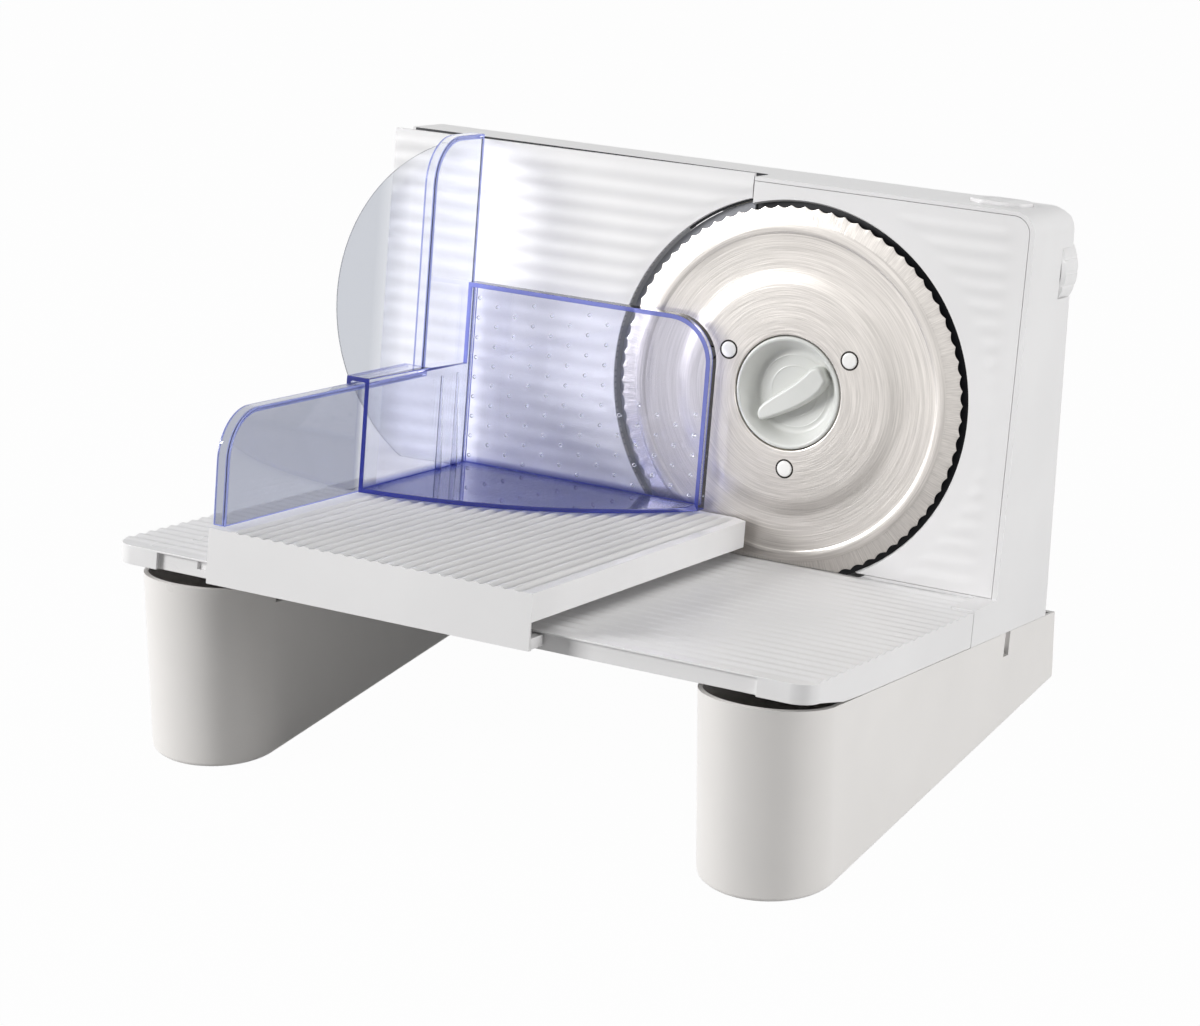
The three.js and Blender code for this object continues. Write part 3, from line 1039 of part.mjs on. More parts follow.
coverScrews.forEach(([x, z], i) => {
  const seat = rearAt(z) - COVER_SHEET / 2 + FIT;
  const screw = turned([[0, seat - 3 * COVER_SHEET], [SCREW_SHANK, seat - 3 * COVER_SHEET],
    [SCREW_SHANK, seat],
    [SCREW_HEAD, seat], [SCREW_HEAD, seat + 1], [0, seat + 1]], ROUND / 2, x, z);
  place(machine, `cover_screw_${i + 1}`, screw, 'steel');
});

function buildGland() {
  const face = rearAt(GLAND_LEVEL);
  const neck = GLAND_RADIUS - COVER_SHEET / 2;
  const flange = face + 2 * FIT;
  return turned([[GLAND_BORE, face - 2 * COVER_SHEET], [neck, face - 2 * COVER_SHEET], [neck, flange],
    [GLAND_RADIUS, flange],
    [GLAND_RADIUS - 1, flange + COVER_SHEET], [GLAND_BORE, flange + COVER_SHEET], [GLAND_BORE,
    face - 2 * COVER_SHEET]],
  ROUND, GLAND_X, GLAND_LEVEL);
}
place(machine, 'cord_gland', buildGland(), 'rubber');

// Carriage: a ribbed tray that runs along the table on two runners and a tongue in the front rail

function buildCarriage() {
  const left = -CARRIAGE_LEFT;
  const right = -CARRIAGE_RIGHT;
  const front = -CARRIAGE_FRONT;
  const rear = -CARRIAGE_REAR;
  const base = CARRIAGE_TOP - CARRIAGE_RIB_HEIGHT;
  const plan = new THREE.Shape();
  plan.moveTo(left, front);
  plan.lineTo(right, front);
  plan.lineTo(right, rear - CARRIAGE_CHAMFER / 2);
  plan.lineTo(right - CARRIAGE_CHAMFER, rear);
  plan.lineTo(left, rear);
  const bottom = CARRIAGE_TOP - CARRIAGE_SIDE;
  const tray = prism(plan, 'z', bottom, base);
  const cavity = block([left + CARRIAGE_SHEET, front + CARRIAGE_SHEET, bottom - 1],
    [right - CARRIAGE_SHEET - CARRIAGE_CHAMFER, rear - CARRIAGE_SHEET, base - CARRIAGE_SHEET]);
  const x0 = left + GUARD_FLANGE + CARRIAGE_BORDER;
  const x1 = right - CARRIAGE_BORDER;
  const crest = ribs(x0, x1, CARRIAGE_RIB_PITCH, base, CARRIAGE_RIB_HEIGHT);
  const rows = prism(outline([[x0, base - FIT], [x1, base - FIT], ...crest.reverse()]), 'y',
    front + CARRIAGE_BORDER, rear - CARRIAGE_BORDER);
  const apronLow = CARRIAGE_TOP - CARRIAGE_APRON;
  const apron = block([left, front, apronLow], [right, front + CARRIAGE_SHEET, base]);
  const tongueTop = TABLE_TOP - RAIL_TOP - RUNNING_GAP;
  const tongue = block([left, front + CARRIAGE_SHEET - 1, tongueTop - TONGUE_HEIGHT],
    [right, -TABLE_REACH + RAIL_DEPTH - RUNNING_GAP, tongueTop]);
  const runners = [RUNNER_FRONT, RUNNER_REAR].map((y) => block(
    [left + 2 * SHELL, -y - RUNNER_WIDTH, TABLE_TOP + FIT], [right - 2 * SHELL - CARRIAGE_CHAMFER, -y,
    base - 1]));
  return join(cut(tray, cavity), rows, apron, tongue, ...runners);
}
place(machine, 'carriage', buildCarriage(), 'shell');

/** Side outline of the guard, drawn in by an inset: low in front, tall at the rear. */
function guardOutline(inset) {
  const low = GUARD_BASE + GUARD_LOW - inset;
  const high = GUARD_BASE + GUARD_HIGH - inset;
  const front = -GUARD_FRONT + inset;
  const tall = -GUARD_TALL + inset;
  const radius = GUARD_CORNER - inset;
  const shape = new THREE.Shape();
  shape.moveTo(-GUARD_REAR - inset, GUARD_BASE + inset);
  shape.lineTo(-GUARD_REAR - inset, high);
  shape.lineTo(tall + radius, high);
  shape.absarc(tall + radius, high - radius, radius, Math.PI / 2, Math.PI);
  shape.lineTo(tall, low);
  shape.lineTo(front + radius, low);
  shape.absarc(front + radius, low - radius, radius, Math.PI / 2, Math.PI);
  shape.lineTo(front, GUARD_BASE + inset);
  return shape;
}

function buildGuard() {
  const wall = prism(guardOutline(0), 'x', GUARD_OUTER, GUARD_INNER);
  const tray = prism(guardOutline(GUARD_SHEET), 'x', GUARD_OUTER - 1, GUARD_INNER - GUARD_SHEET);
  const shieldFront = -GUARD_REAR - SHIELD_SHEET;
  const shield = bar(SHIELD_RADIUS, shieldFront, -GUARD_REAR, SHIELD_X, SHIELD_Z, FINE);
  const left = SHIELD_X - SHIELD_RADIUS - 1;
  const keep = block([left, shieldFront - 1, GUARD_BASE], [GUARD_INNER - GUARD_SHEET / 2, 0,
    GUARD_BASE + GUARD_HIGH]);
  return join(cut(wall, tray), shield.intersect(keep));
}
place(machine, 'carriage_guard', buildGuard(), 'clear');

function buildPusher() {
  const left = PUSHER_LEFT;
  const right = -PUSHER_RIGHT;
  const rear = PUSHER_REAR;
  const front = -PUSHER_FRONT;
  const inner = left + PUSHER_SHEET;
  const sideTop = PUSHER_FLOOR + PUSHER_SIDE;
  const corners = [0, 0, PUSHER_CORNER, 0];
  const cupped = prism(rounded(left, PUSHER_FLOOR, right, PUSHER_TOP, corners), 'y',
    rear - PUSHER_FLANGE, rear);
  const pocketCorners = [0, 0, PUSHER_CORNER - PUSHER_SHEET, 0];
  const pocket = prism(rounded(inner, PUSHER_FLOOR + PUSHER_SHEET, right - PUSHER_SHEET,
    PUSHER_TOP - PUSHER_SHEET,
    pocketCorners), 'y', rear - PUSHER_FLANGE - 1, rear - PUSHER_SHEET);
  const plan = new THREE.Shape();
  plan.moveTo(left, rear - 1);
  plan.lineTo(left, front);
  plan.quadraticCurveTo((left + right) / 2 + PUSHER_CORNER, front + PUSHER_CORNER / 2, right,
    rear - PUSHER_FLANGE);
  plan.lineTo(right, rear - 1);
  const floor = prism(plan, 'z', PUSHER_FLOOR, PUSHER_FLOOR + PUSHER_SHEET, CURVE_STEPS);
  const side = block([left, front, PUSHER_FLOOR], [inner, rear - 1, sideTop]);
  const hookTop = GUARD_BASE + GUARD_LOW + RUNNING_GAP;
  const hookLeft = GUARD_OUTER - RUNNING_GAP - PUSHER_SHEET;
  const hookBack = front + HOOK_LENGTH;
  const hook = block([hookLeft, front, hookTop], [inner, hookBack, hookTop + PUSHER_SHEET]);
  const lip = block([hookLeft, front, hookTop - 2 * PUSHER_SHEET], [hookLeft + PUSHER_SHEET, hookBack,
    hookTop + 1]);
  const riser = block([left, front, sideTop - 1], [inner, hookBack, hookTop + 1]);
  const bareLeft = right - STUD_BARE;
  const bareLow = (PUSHER_FLOOR + PUSHER_TOP) / 2;
  const studs = [];
  for (let column = 0, x = inner + STUD_RADIUS; x < right - STUD_PITCH_X / 2; column += 1,
    x += STUD_PITCH_X) {
    const start = STUD_LEVEL - ((column % STUD_ROWS) * STUD_PITCH_Z) / STUD_ROWS;
    for (let z = start; z > PUSHER_FLOOR + STUD_PITCH_Z / 2; z -= STUD_PITCH_Z) {
      if (x > bareLeft && z > bareLow) continue;
      const stud = new THREE.CylinderGeometry(STUD_RADIUS / 2, STUD_RADIUS, STUD_HEIGHT + 1, STUD_SIDES);
      studs.push(solid(stud.translate(x, rear + (STUD_HEIGHT - 1) / 2, z)));
    }
  }
  return join(cut(cupped, pocket), floor, side, hook, lip, riser, ...studs);
}
place(machine, 'pusher', buildPusher(), 'clear');

// Origin: on the ground, in the middle of the whole

model.updateMatrixWorld(true);
const middle = new THREE.Box3().setFromObject(model, true).getCenter(new THREE.Vector3());
stand.position.set(-middle.x, -middle.y, 0);
machine.position.set(-middle.x, -middle.y, AXIS_TO_GROUND);

export default model;
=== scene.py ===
"""Dresses the food slicer: fine meshes and finishes for its visible pieces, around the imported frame."""

import json
import logging
import math
from dataclasses import dataclass, field
from enum import Enum
from typing import Callable, Iterable, Optional, Sequence

import bmesh
import bpy
from mathutils import Matrix, Vector
from mathutils.geometry import interpolate_bezier


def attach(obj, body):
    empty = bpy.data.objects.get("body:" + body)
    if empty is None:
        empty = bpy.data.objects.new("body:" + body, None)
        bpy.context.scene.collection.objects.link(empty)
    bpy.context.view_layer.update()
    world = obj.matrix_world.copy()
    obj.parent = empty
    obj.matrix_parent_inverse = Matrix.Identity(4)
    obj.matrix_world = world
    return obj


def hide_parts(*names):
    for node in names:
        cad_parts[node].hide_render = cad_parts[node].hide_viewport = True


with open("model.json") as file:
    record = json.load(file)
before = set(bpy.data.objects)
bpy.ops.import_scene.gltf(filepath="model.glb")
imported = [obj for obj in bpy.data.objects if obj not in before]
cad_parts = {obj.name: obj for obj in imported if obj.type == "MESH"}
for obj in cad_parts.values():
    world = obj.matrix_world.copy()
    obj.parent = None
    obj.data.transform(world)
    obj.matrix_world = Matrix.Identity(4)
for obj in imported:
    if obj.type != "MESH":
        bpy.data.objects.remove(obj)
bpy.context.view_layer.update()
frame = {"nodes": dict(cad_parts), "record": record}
LOG = logging.getLogger("slicer")
MM = 0.001
NEAR = 0.01
WELD = 0.001
HAIR = 0.0001
FULL_TURN = 360.0
WHITE = (1.0, 1.0, 1.0, 1.0)

Colour = tuple[float, float, float]
Pair = tuple[float, float]
Point = tuple[float, float, float]
Profile = tuple[Pair, ...]
Socket = bpy.types.NodeSocket
Step = Callable[[bpy.types.Object], None]


class Slot(Enum):
    """Material slots of the record."""

    SHELL = "shell"
    LEG = "leg"
    CLEAR = "clear"
    STEEL = "steel"
    ZINC = "zinc"
    DARK = "dark"
    NYLON = "nylon"
    BRONZE = "bronze"
    RUBBER = "rubber"


class Axis(Enum):
    """Direction that an outline is drawn out along."""

    X = 0
    Y = 1
    Z = 2

    def place(self, first: float, second: float, along: float) -> Point:
        """A point from its places on the three axes.

        Args:
            first: Place on the first of the two other axes.
            second: Place on the second of them.
            along: Place on this axis.

        Returns:
            The point.
        """
        parts = [first, second]
        parts.insert(self.value, along)
        return parts[0], parts[1], parts[2]


def linear(red: int, green: int, blue: int) -> Colour:
    """A screen colour as the shader's linear one.

    Args:
        red: Red channel up to 255.
        green: Green channel.
        blue: Blue channel.

    Returns:
        The linear colour.
    """

    def channel(value: int) -> float:
        """One channel of it."""
        share = value / 255
        return share / 12.92 if share <= 0.04045 else ((share + 0.055) / 1.055) ** 2.4

    return channel(red), channel(green), channel(blue)


def toned(colour: Colour, share: float) -> Colour:
    """A colour made lighter or darker by a share, held to white."""
    return tuple(min(1.0, channel * share) for channel in colour)


def arc(middle: Pair, radius: float, start: float, end: float, steps: int) -> list[Pair]:
    """Points along an arc.

    Args:
        middle: The arc's centre.
        radius: Its radius.
        start: First angle in degrees, from the first axis towards the second.
        end: Last angle.
        steps: How many stretches it has.

    Returns:
        The points from start to end.
    """
    angles = [math.radians(start + (end - start) * step / steps) for step in range(steps + 1)]
    return [(middle[0] + radius * math.cos(a), middle[1] + radius * math.sin(a)) for a in angles]


def bend(start: Pair, first: Pair, second: Pair, end: Pair, steps: int) -> list[Pair]:
    """Points along a smooth bend with two handles, its last point left to the next one."""
    knots = [Vector((*pair, 0.0)) for pair in (start, first, second, end)]
    return [(point.x, point.y) for point in interpolate_bezier(*knots, steps + 1)[:-1]]


def ramped(value: float, low: float, high: float) -> float:
    """Smooth step from 0 at low to 1 at high."""
    share = min(1.0, max(0.0, (value - low) / (high - low)))
    return share * share * (3 - 2 * share)


def lies_at(edge: bmesh.types.BMEdge, axis: Axis, place: float) -> bool:
    """Whether both ends of an edge lie at a place on an axis."""
    return all(abs(vertex.co[axis.value] - place) < NEAR for vertex in edge.verts)


@dataclass(frozen=True)
class Lean:
    """The machine's own frame: millimetres about the blade's centre, leaning back on the stand."""

    angle: float = math.radians(9.7)
    origin: Point = (71.71964645, 82.00578984, 160.0)

    @property
    def to_ground(self) -> Matrix:
        """Matrix from the machine's millimetres to the ground's metres."""
        turn = Matrix.Rotation(-self.angle, 4, "X")
        return Matrix.Scale(MM, 4) @ Matrix.Translation(Vector(self.origin)) @ turn

    @property
    def stand_to_ground(self) -> Matrix:
        """Matrix from the upright stand's millimetres to the ground's metres."""
        place = Vector((self.origin[0], self.origin[1], 0.0))
        return Matrix.Scale(MM, 4) @ Matrix.Translation(place)


LEAN = Lean()


class Shape:
    """A mesh in the making, in millimetres, with short calls to the mesh operators."""

    def __init__(self) -> None:
        """Starts an empty mesh."""
        self.mesh = bmesh.new()

    @classmethod
    def turned(cls, profile: Sequence[Pair], steps: int, middle: Pair = (0.0, 0.0), start: float = 0.0,
               sweep: float = FULL_TURN, closed: bool = True) -> "Shape":
        """A profile spun about an axis along y.

        Args:
            profile: Points of radius and depth.
            steps: Stretches round the turn.
            middle: The axis in x and z.
            start: Angle of the profile in degrees, from x towards z.
            sweep: How far it turns.
            closed: Whether the last point joins the first.

        Returns:
            The turned shape.
        """
        shape = cls()
        ray = math.cos(math.radians(start)), math.sin(math.radians(start))
        points = [shape.mesh.verts.new((middle[0] + radius * ray[0], depth, middle[1] + radius * ray[1]))
                  for radius, depth in profile]
        chain = points + points[:1] if closed else points
        edges = [shape.mesh.edges.new(pair) for pair in zip(chain, chain[1:])]
        bmesh.ops.spin(shape.mesh, geom=points + edges, cent=(middle[0], 0.0, middle[1]),
                       axis=(0.0, -1.0, 0.0), angle=math.radians(sweep), steps=steps,
                       use_merge=sweep == FULL_TURN)
        shape.weld()
        return shape

    @classmethod
    def drawn(cls, outline: Sequence[Pair], axis: Axis, start: float, end: float) -> "Shape":
        """A flat outline drawn out to a solid.

        Args:
            outline: Its points on the two other axes, in their order.
            axis: The direction it is drawn along.
            start: Where it starts there.
            end: Where it ends.

        Returns:
            The closed solid.
        """
        shape = cls()
        face = shape.face([axis.place(first, second, start) for first, second in outline])
        grown = bmesh.ops.extrude_face_region(shape.mesh, geom=[face])["geom"]
        moved = [item for item in grown if isinstance(item, bmesh.types.BMVert)]
        bmesh.ops.translate(shape.mesh, verts=moved, vec=axis.place(0.0, 0.0, end - start))
        shape.weld()
        return shape

    @classmethod
    def grid(cls, low: Pair, high: Pair, cells: tuple[int, int], axis: Axis, along: float) -> "Shape":
        """A flat net of faces.

        Args:
            low: Its lowest corner on the two other axes.
            high: Its highest corner.
            cells: Stretches each way.
            axis: The direction it faces.
            along: Its place there.

        Returns:
            The open net.
        """
        shape = cls()
        bmesh.ops.create_grid(shape.mesh, x_segments=cells[0], y_segments=cells[1], size=0.5)
        for vertex in shape.mesh.verts:
            first = low[0] + (high[0] - low[0]) * (vertex.co.x + 0.5)
            second = low[1] + (high[1] - low[1]) * (vertex.co.y + 0.5)
            vertex.co = axis.place(first, second, along)
        return shape

    @classmethod
    def box(cls, low: Point, high: Point, edge: float = 0.0) -> "Shape":
        """A block with rounded edges.

        Args:
            low: Its lowest corner.
            high: Its highest corner.
            edge: How far the rounding reaches, or 0 for sharp edges.

        Returns:
            The closed block.
        """
        plan = [(low[0], low[1]), (high[0], low[1]), (high[0], high[1]), (low[0], high[1])]
        shape = cls.drawn(plan, Axis.Z, low[2], high[2])
        if edge:
            shape.bevel(edge)
        return shape

    def face(self, points: Sequence[Point]) -> bmesh.types.BMFace:
        """One flat face on new points."""
        return self.mesh.faces.new([self.mesh.verts.new(point) for point in points])

    def merge(self, reach: float) -> None:
        """Joins points that lie closer than this."""
        bmesh.ops.remove_doubles(self.mesh, verts=self.mesh.verts, dist=reach)

    def weld(self) -> None:
        """Joins points that meet and turns every face outwards."""
        self.merge(WELD)
        bmesh.ops.dissolve_degenerate(self.mesh, edges=self.mesh.edges, dist=WELD / 2)
        bmesh.ops.recalc_face_normals(self.mesh, faces=self.mesh.faces)

    def bevel(self, width: float, segments: int = 2, least: float = 35.0,
              chosen: Optional[Callable[[bmesh.types.BMEdge], bool]] = None) -> None:
        """Rounds edges.

        Args:
            width: How far the rounding reaches on each side.
            segments: Its stretches.
            least: Angle in degrees from which an edge counts as sharp.
            chosen: Test that an edge has to pass as well.
        """
        edges = [edge for edge in self.mesh.edges
                 if len(edge.link_faces) == 2 and edge.calc_face_angle() > math.radians(least)
                 and (chosen is None or chosen(edge))]
        bmesh.ops.bevel(self.mesh, geom=edges, offset=width, offset_type="OFFSET", segments=segments,
                        profile=0.5, affect="EDGES", clamp_overlap=True, material=-1)

    def round_corners(self, places: Iterable[Point], radius: float, segments: int = 12) -> None:
        """Rounds the corners of open faces.

        Args:
            places: Where the corners are.
            radius: How far the rounding reaches.
            segments: Its stretches.
        """
        wanted = [Vector(place) for place in places]
        corners = [vertex for vertex in self.mesh.verts
                   if any((vertex.co - place).length < NEAR for place in wanted)]
        bmesh.ops.bevel(self.mesh, geom=corners, offset=radius, offset_type="OFFSET", segments=segments,
                        profile=0.5, affect="VERTICES", clamp_overlap=True, material=-1)

    def pull_edges(self, edges: Iterable[bmesh.types.BMEdge], shift: Point) -> list[bmesh.types.BMEdge]:
        """Draws edges out to new faces.

        Args:
            edges: The edges.
            shift: How far they go.

        Returns:
            The new outer edges.
        """
        grown = bmesh.ops.extrude_edge_only(self.mesh, edges=list(edges))["geom"]
        moved = [item for item in grown if isinstance(item, bmesh.types.BMVert)]
        bmesh.ops.translate(self.mesh, verts=moved, vec=shift)
        ends = set(moved)
        return [item for item in grown
                if isinstance(item, bmesh.types.BMEdge) and all(vertex in ends for vertex in item.verts)]

    def rim(self) -> list[bmesh.types.BMEdge]:
        """Edges at the border of an open shape."""
        return [edge for edge in self.mesh.edges if edge.is_boundary]

    def close_back(self, shift: Point) -> None:
        """Draws the border of a net back and closes it behind.

        Args:
            shift: How far the border goes.
        """
        ends = self.pull_edges(self.rim(), shift)
        bmesh.ops.edgeloop_fill(self.mesh, edges=ends)
        self.weld()

    def cut_off(self, place: Point, outward: Point, close: bool = True) -> None:
        """Takes away what lies outside a plane.

        Args:
            place: A point on the plane.
            outward: Direction of the side that goes.
            close: Whether the cut gets a face.
        """
        whole = self.mesh.verts[:] + self.mesh.edges[:] + self.mesh.faces[:]
        cut = bmesh.ops.bisect_plane(self.mesh, geom=whole, dist=HAIR, plane_co=place, plane_no=outward,
                                     clear_outer=True)["geom_cut"]
        if close:
            edges = [item for item in cut if isinstance(item, bmesh.types.BMEdge)]
            bmesh.ops.edgeloop_fill(self.mesh, edges=edges)
            self.weld()

    def paint(self, number: int) -> "Shape":
        """Gives every face one of the piece's finishes.

        Args:
            number: The finish's place among them, from 0.

        Returns:
            This shape.
        """
        for face in self.mesh.faces:
            face.material_index = number
        return self

    def absorb(self, *others: "Shape") -> "Shape":
        """Takes other shapes into this mesh, as they are.

        Args:
            others: The shapes, which are used up.

        Returns:
            This shape.
        """
        for other in others:
            mesh = bpy.data.meshes.new("joining")
            other.mesh.to_mesh(mesh)
            other.mesh.free()
            self.mesh.from_mesh(mesh)
            bpy.data.meshes.remove(mesh)
        return self

    def face_towards(self, outward: Point, least: float = 0.9) -> None:
        """Turns an open shape the right way out.

        Args:
            outward: Direction that the faces nearest it are to point along.
            least: How near, as the cosine of the angle between them.
        """
        bmesh.ops.recalc_face_normals(self.mesh, faces=self.mesh.faces)
        self.mesh.normal_update()
        aligned = sum(face.normal.dot(Vector(outward)) * face.calc_area() for face in self.mesh.faces
                      if abs(face.normal.dot(Vector(outward))) > least)
        if aligned < 0:
            bmesh.ops.reverse_faces(self.mesh, faces=self.mesh.faces)

    def to_object(self, name: str, place: Matrix) -> bpy.types.Object:
        """Makes the shape an object at the origin.

        Args:
            name: The object's name.
            place: Matrix from the shape's millimetres to the ground's metres.

        Returns:
            The new object.
        """
        self.mesh.transform(place)
        mesh = bpy.data.meshes.new(name)
        self.mesh.to_mesh(mesh)
        self.mesh.free()
        piece = bpy.data.objects.new(name, mesh)
        bpy.context.scene.collection.objects.link(piece)
        return piece


class Sheet:
    """A node tree of a material or the world, with short calls to fill it."""

    def __init__(self, owner: bpy.types.ID, output: str) -> None:
        """Starts an empty tree.

        Args:
            owner: The new material or world.
            output: Type of its output node, without its prefix.
        """
        self.owner = owner
        self.owner.use_nodes = True
        self.tree = owner.node_tree
        self.tree.nodes.clear()
        self.output = self.add(output)

    @classmethod
    def named(cls, name: str) -> "Sheet":
        """The tree of a new material."""
        return cls(bpy.data.materials.new(name), "OutputMaterial")

    def feed(self, socket: Socket, value: object) -> None:
        """Links a socket to an input, or sets its value.

        Args:
            socket: The socket.
            value: Another node's output, or a plain value.
        """
        if isinstance(value, bpy.types.NodeSocket):
            self.tree.links.new(value, socket)
        else:
            socket.default_value = value

    def add(self, kind: str, **inputs: object) -> bpy.types.Node:
        """Adds a node.

        Args:
            kind: The node's type without its prefix.
            inputs: Values or sockets for its inputs, with _ for spaces.

        Returns:
            The new node.
        """
        node = self.tree.nodes.new(f"ShaderNode{kind}")
        for key, value in inputs.items():
            self.feed(node.inputs[key.replace("_", " ")], value)
        return node

    def math(self, operation: str, *values: object) -> Socket:
        """A Math node's result.

        Args:
            operation: The node's operation.
            values: Numbers or sockets for its inputs, in order.

        Returns:
            Its output socket.
        """
        node = self.add("Math")
        node.operation = operation
        for socket, value in zip(node.inputs, values):
            self.feed(socket, value)
        return node.outputs[0]

    def machine_place(self) -> Socket:
        """Surface place in the machine's millimetres, about the blade's centre.

        Returns:
            The place's socket.
        """
        mapping = self.add("Mapping", Vector=self.add("TexCoord").outputs["Object"])
        turn = Matrix.Rotation(LEAN.angle, 4, "X")
        mapping.inputs["Location"].default_value = -(turn @ Vector(LEAN.origin))
        mapping.inputs["Rotation"].default_value = (LEAN.angle, 0.0, 0.0)
        mapping.inputs["Scale"].default_value = (1 / MM, 1 / MM, 1 / MM)
        return mapping.outputs[0]

    def noise(self, place: Socket, scale: float, detail: float = 2.0) -> Socket:
        """A noise value between 0 and 1 at a place, with scale in waves per millimetre."""
        return self.add("TexNoise", Vector=place, Scale=scale, Detail=detail).outputs["Fac"]

    def ramp(self, value: Socket, low: Colour, high: Colour, start: float = 0.0,
             end: float = 1.0) -> Socket:
        """A colour between two ends.

        Args:
            value: The place between them.
            low: Colour up to start.
            high: Colour from end on.
            start: Where the change begins.
            end: Where it ends.

        Returns:
            The ramp's colour socket.
        """
        node = self.add("ValToRGB", Fac=value)
        first, last = node.color_ramp.elements
        first.color, first.position = (*low, 1.0), start
        last.color, last.position = (*high, 1.0), end
        return node.outputs["Color"]

    def spread(self, value: Socket, low: float, high: float, start: float = 0.0,
               end: float = 1.0) -> Socket:
        """A value of start to end spread between two numbers.

        Args:
            value: The value.
            low: The number at start.
            high: The number at end.
            start: The value's lower end.
            end: Its upper end.

        Returns:
            The number's socket.
        """
        node = self.add("MapRange", Value=value)
        for key, number in (("From Min", start), ("From Max", end), ("To Min", low), ("To Max", high)):
            node.inputs[key].default_value = number
        return node.outputs["Result"]

    def around(self, value: Socket, middle: float, reach: float) -> Socket:
        """A value of 0 to 1 spread to both sides of a number."""
        return self.spread(value, middle - reach, middle + reach)

    def blend(self, share: Socket, first: object, second: object) -> Socket:
        """A colour mixed from two.

        Args:
            share: The share of the second.
            first: The first colour.
            second: The second colour.

        Returns:
            The mixed colour's socket.
        """
        node = self.add("Mix")
        node.data_type = "RGBA"
        colours = [socket for socket in node.inputs if socket.type == "RGBA"]
        self.feed(node.inputs[0], share)
        self.feed(colours[0], first)
        self.feed(colours[1], second)
        return next(socket for socket in node.outputs if socket.type == "RGBA")

    def mix(self, share: Socket, first: bpy.types.Node, second: bpy.types.Node) -> bpy.types.Node:
        """A shader mixed from two.

        Args:
            share: The share of the second.
            first: The first shader.
            second: The second shader.

        Returns:
            The mixing node.
        """
        node = self.add("MixShader", Fac=share)
        self.tree.links.new(first.outputs[0], node.inputs[1])
        self.tree.links.new(second.outputs[0], node.inputs[2])
        return node

    def seen_share(self, most: float = 1.0) -> Socket:
        """Share of white for rays that look at the background, also in metal and through clear pieces.

        Args:
            most: The largest share.

        Returns:
            The share's socket, 0 for rays that light the object.
        """
        path = self.add("LightPath").outputs
        seen = self.math("ADD", path["Is Camera Ray"], path["Is Glossy Ray"])
        seen = self.math("MINIMUM", self.math("ADD", seen, path["Is Transmission Ray"]), most)
        return self.math("MULTIPLY", seen, self.math("LESS_THAN", path["Diffuse Depth"], 0.5))

    def surface(self, shader: bpy.types.Node) -> bpy.types.ID:
        """Ends the tree with this shader."""
        self.tree.links.new(shader.outputs[0], self.output.inputs["Surface"])
        return self.owner


@dataclass(frozen=True)
class MouldedPlastic:
    """Moulded plastic with a fine spark-eroded grain and a faint flow in its colour."""

    name: str
    colour: Colour
    roughness: float = 0.38
    grain: float = 0.06
    tint: float = 0.025
    flow_waves: float = 0.015
    grain_waves: float = 1.6
    grain_depth: float = 0.0004
    roughness_reach: float = 0.05
    flow_ends: Pair = (0.3, 0.7)
    refraction: float = 1.5

    def build(self) -> bpy.types.Material:
        """Builds the material.

        Returns:
            The new material.
        """
        sheet = Sheet.named(self.name)
        place = sheet.machine_place()
        flow = sheet.noise(place, self.flow_waves, 3.0)
        grain = sheet.noise(place, self.grain_waves)
        bump = sheet.add("Bump", Height=grain, Strength=self.grain, Distance=self.grain_depth)
        dull, bright = toned(self.colour, 1 - self.tint), toned(self.colour, 1 + self.tint)
        shader = sheet.add("BsdfPrincipled", Base_Color=sheet.ramp(flow, dull, bright, *self.flow_ends),
                           Roughness=sheet.around(flow, self.roughness, self.roughness_reach),
                           Normal=bump.outputs[0])
        shader.inputs["IOR"].default_value = self.refraction
        return sheet.surface(shader)


@dataclass(frozen=True)
class Zone:
    """A stretch of a clear piece with another tint."""

    axis: Axis
    start: float
    end: float
    tint: Colour


@dataclass(frozen=True)
class ClearPlastic:
    """Clear tinted plastic that lets lamps through."""

    name: str
    tint: Colour
    roughness: float = 0.03
    zones: tuple[Zone, ...] = ()
    ripple: float = 0.02
    clear: float = 1.0
    shade: Colour = (0.68, 0.68, 0.70)
    flow_waves: float = 0.02
    flow_tones: Pair = (0.97, 1.02)
    flow_ends: Pair = (0.3, 0.7)
    ripple_waves: float = 0.05
    ripple_depth: float = 0.001
    refraction: float = 1.49

    def build(self) -> bpy.types.Material:
        """Builds the material.

        Returns:
            The new material.
        """
        sheet = Sheet.named(self.name)
        place = sheet.machine_place()
        parts = sheet.add("SeparateXYZ", Vector=place)
        flow = sheet.noise(place, self.flow_waves)
        dull, bright = (toned(self.tint, tone) for tone in self.flow_tones)
        colour = sheet.ramp(flow, dull, bright, *self.flow_ends)
        for zone in self.zones:
            low, high = min(zone.start, zone.end), max(zone.start, zone.end)
            ends = (0.0, 1.0) if zone.end > zone.start else (1.0, 0.0)
            share = sheet.spread(parts.outputs[zone.axis.value], *ends, low, high)
            colour = sheet.blend(share, colour, (*zone.tint, 1.0))
        ripple = sheet.noise(place, self.ripple_waves)
        bump = sheet.add("Bump", Height=ripple, Strength=self.ripple, Distance=self.ripple_depth)
        glass = sheet.add("BsdfPrincipled", Base_Color=colour, Roughness=self.roughness,
                          Normal=bump.outputs[0])
        glass.inputs["IOR"].default_value = self.refraction
        glass.inputs["Transmission Weight"].default_value = self.clear
        through = sheet.add("BsdfTransparent", Color=(*self.shade, 1.0))
        return sheet.surface(sheet.mix(sheet.add("LightPath").outputs["Is Shadow Ray"], glass, through))


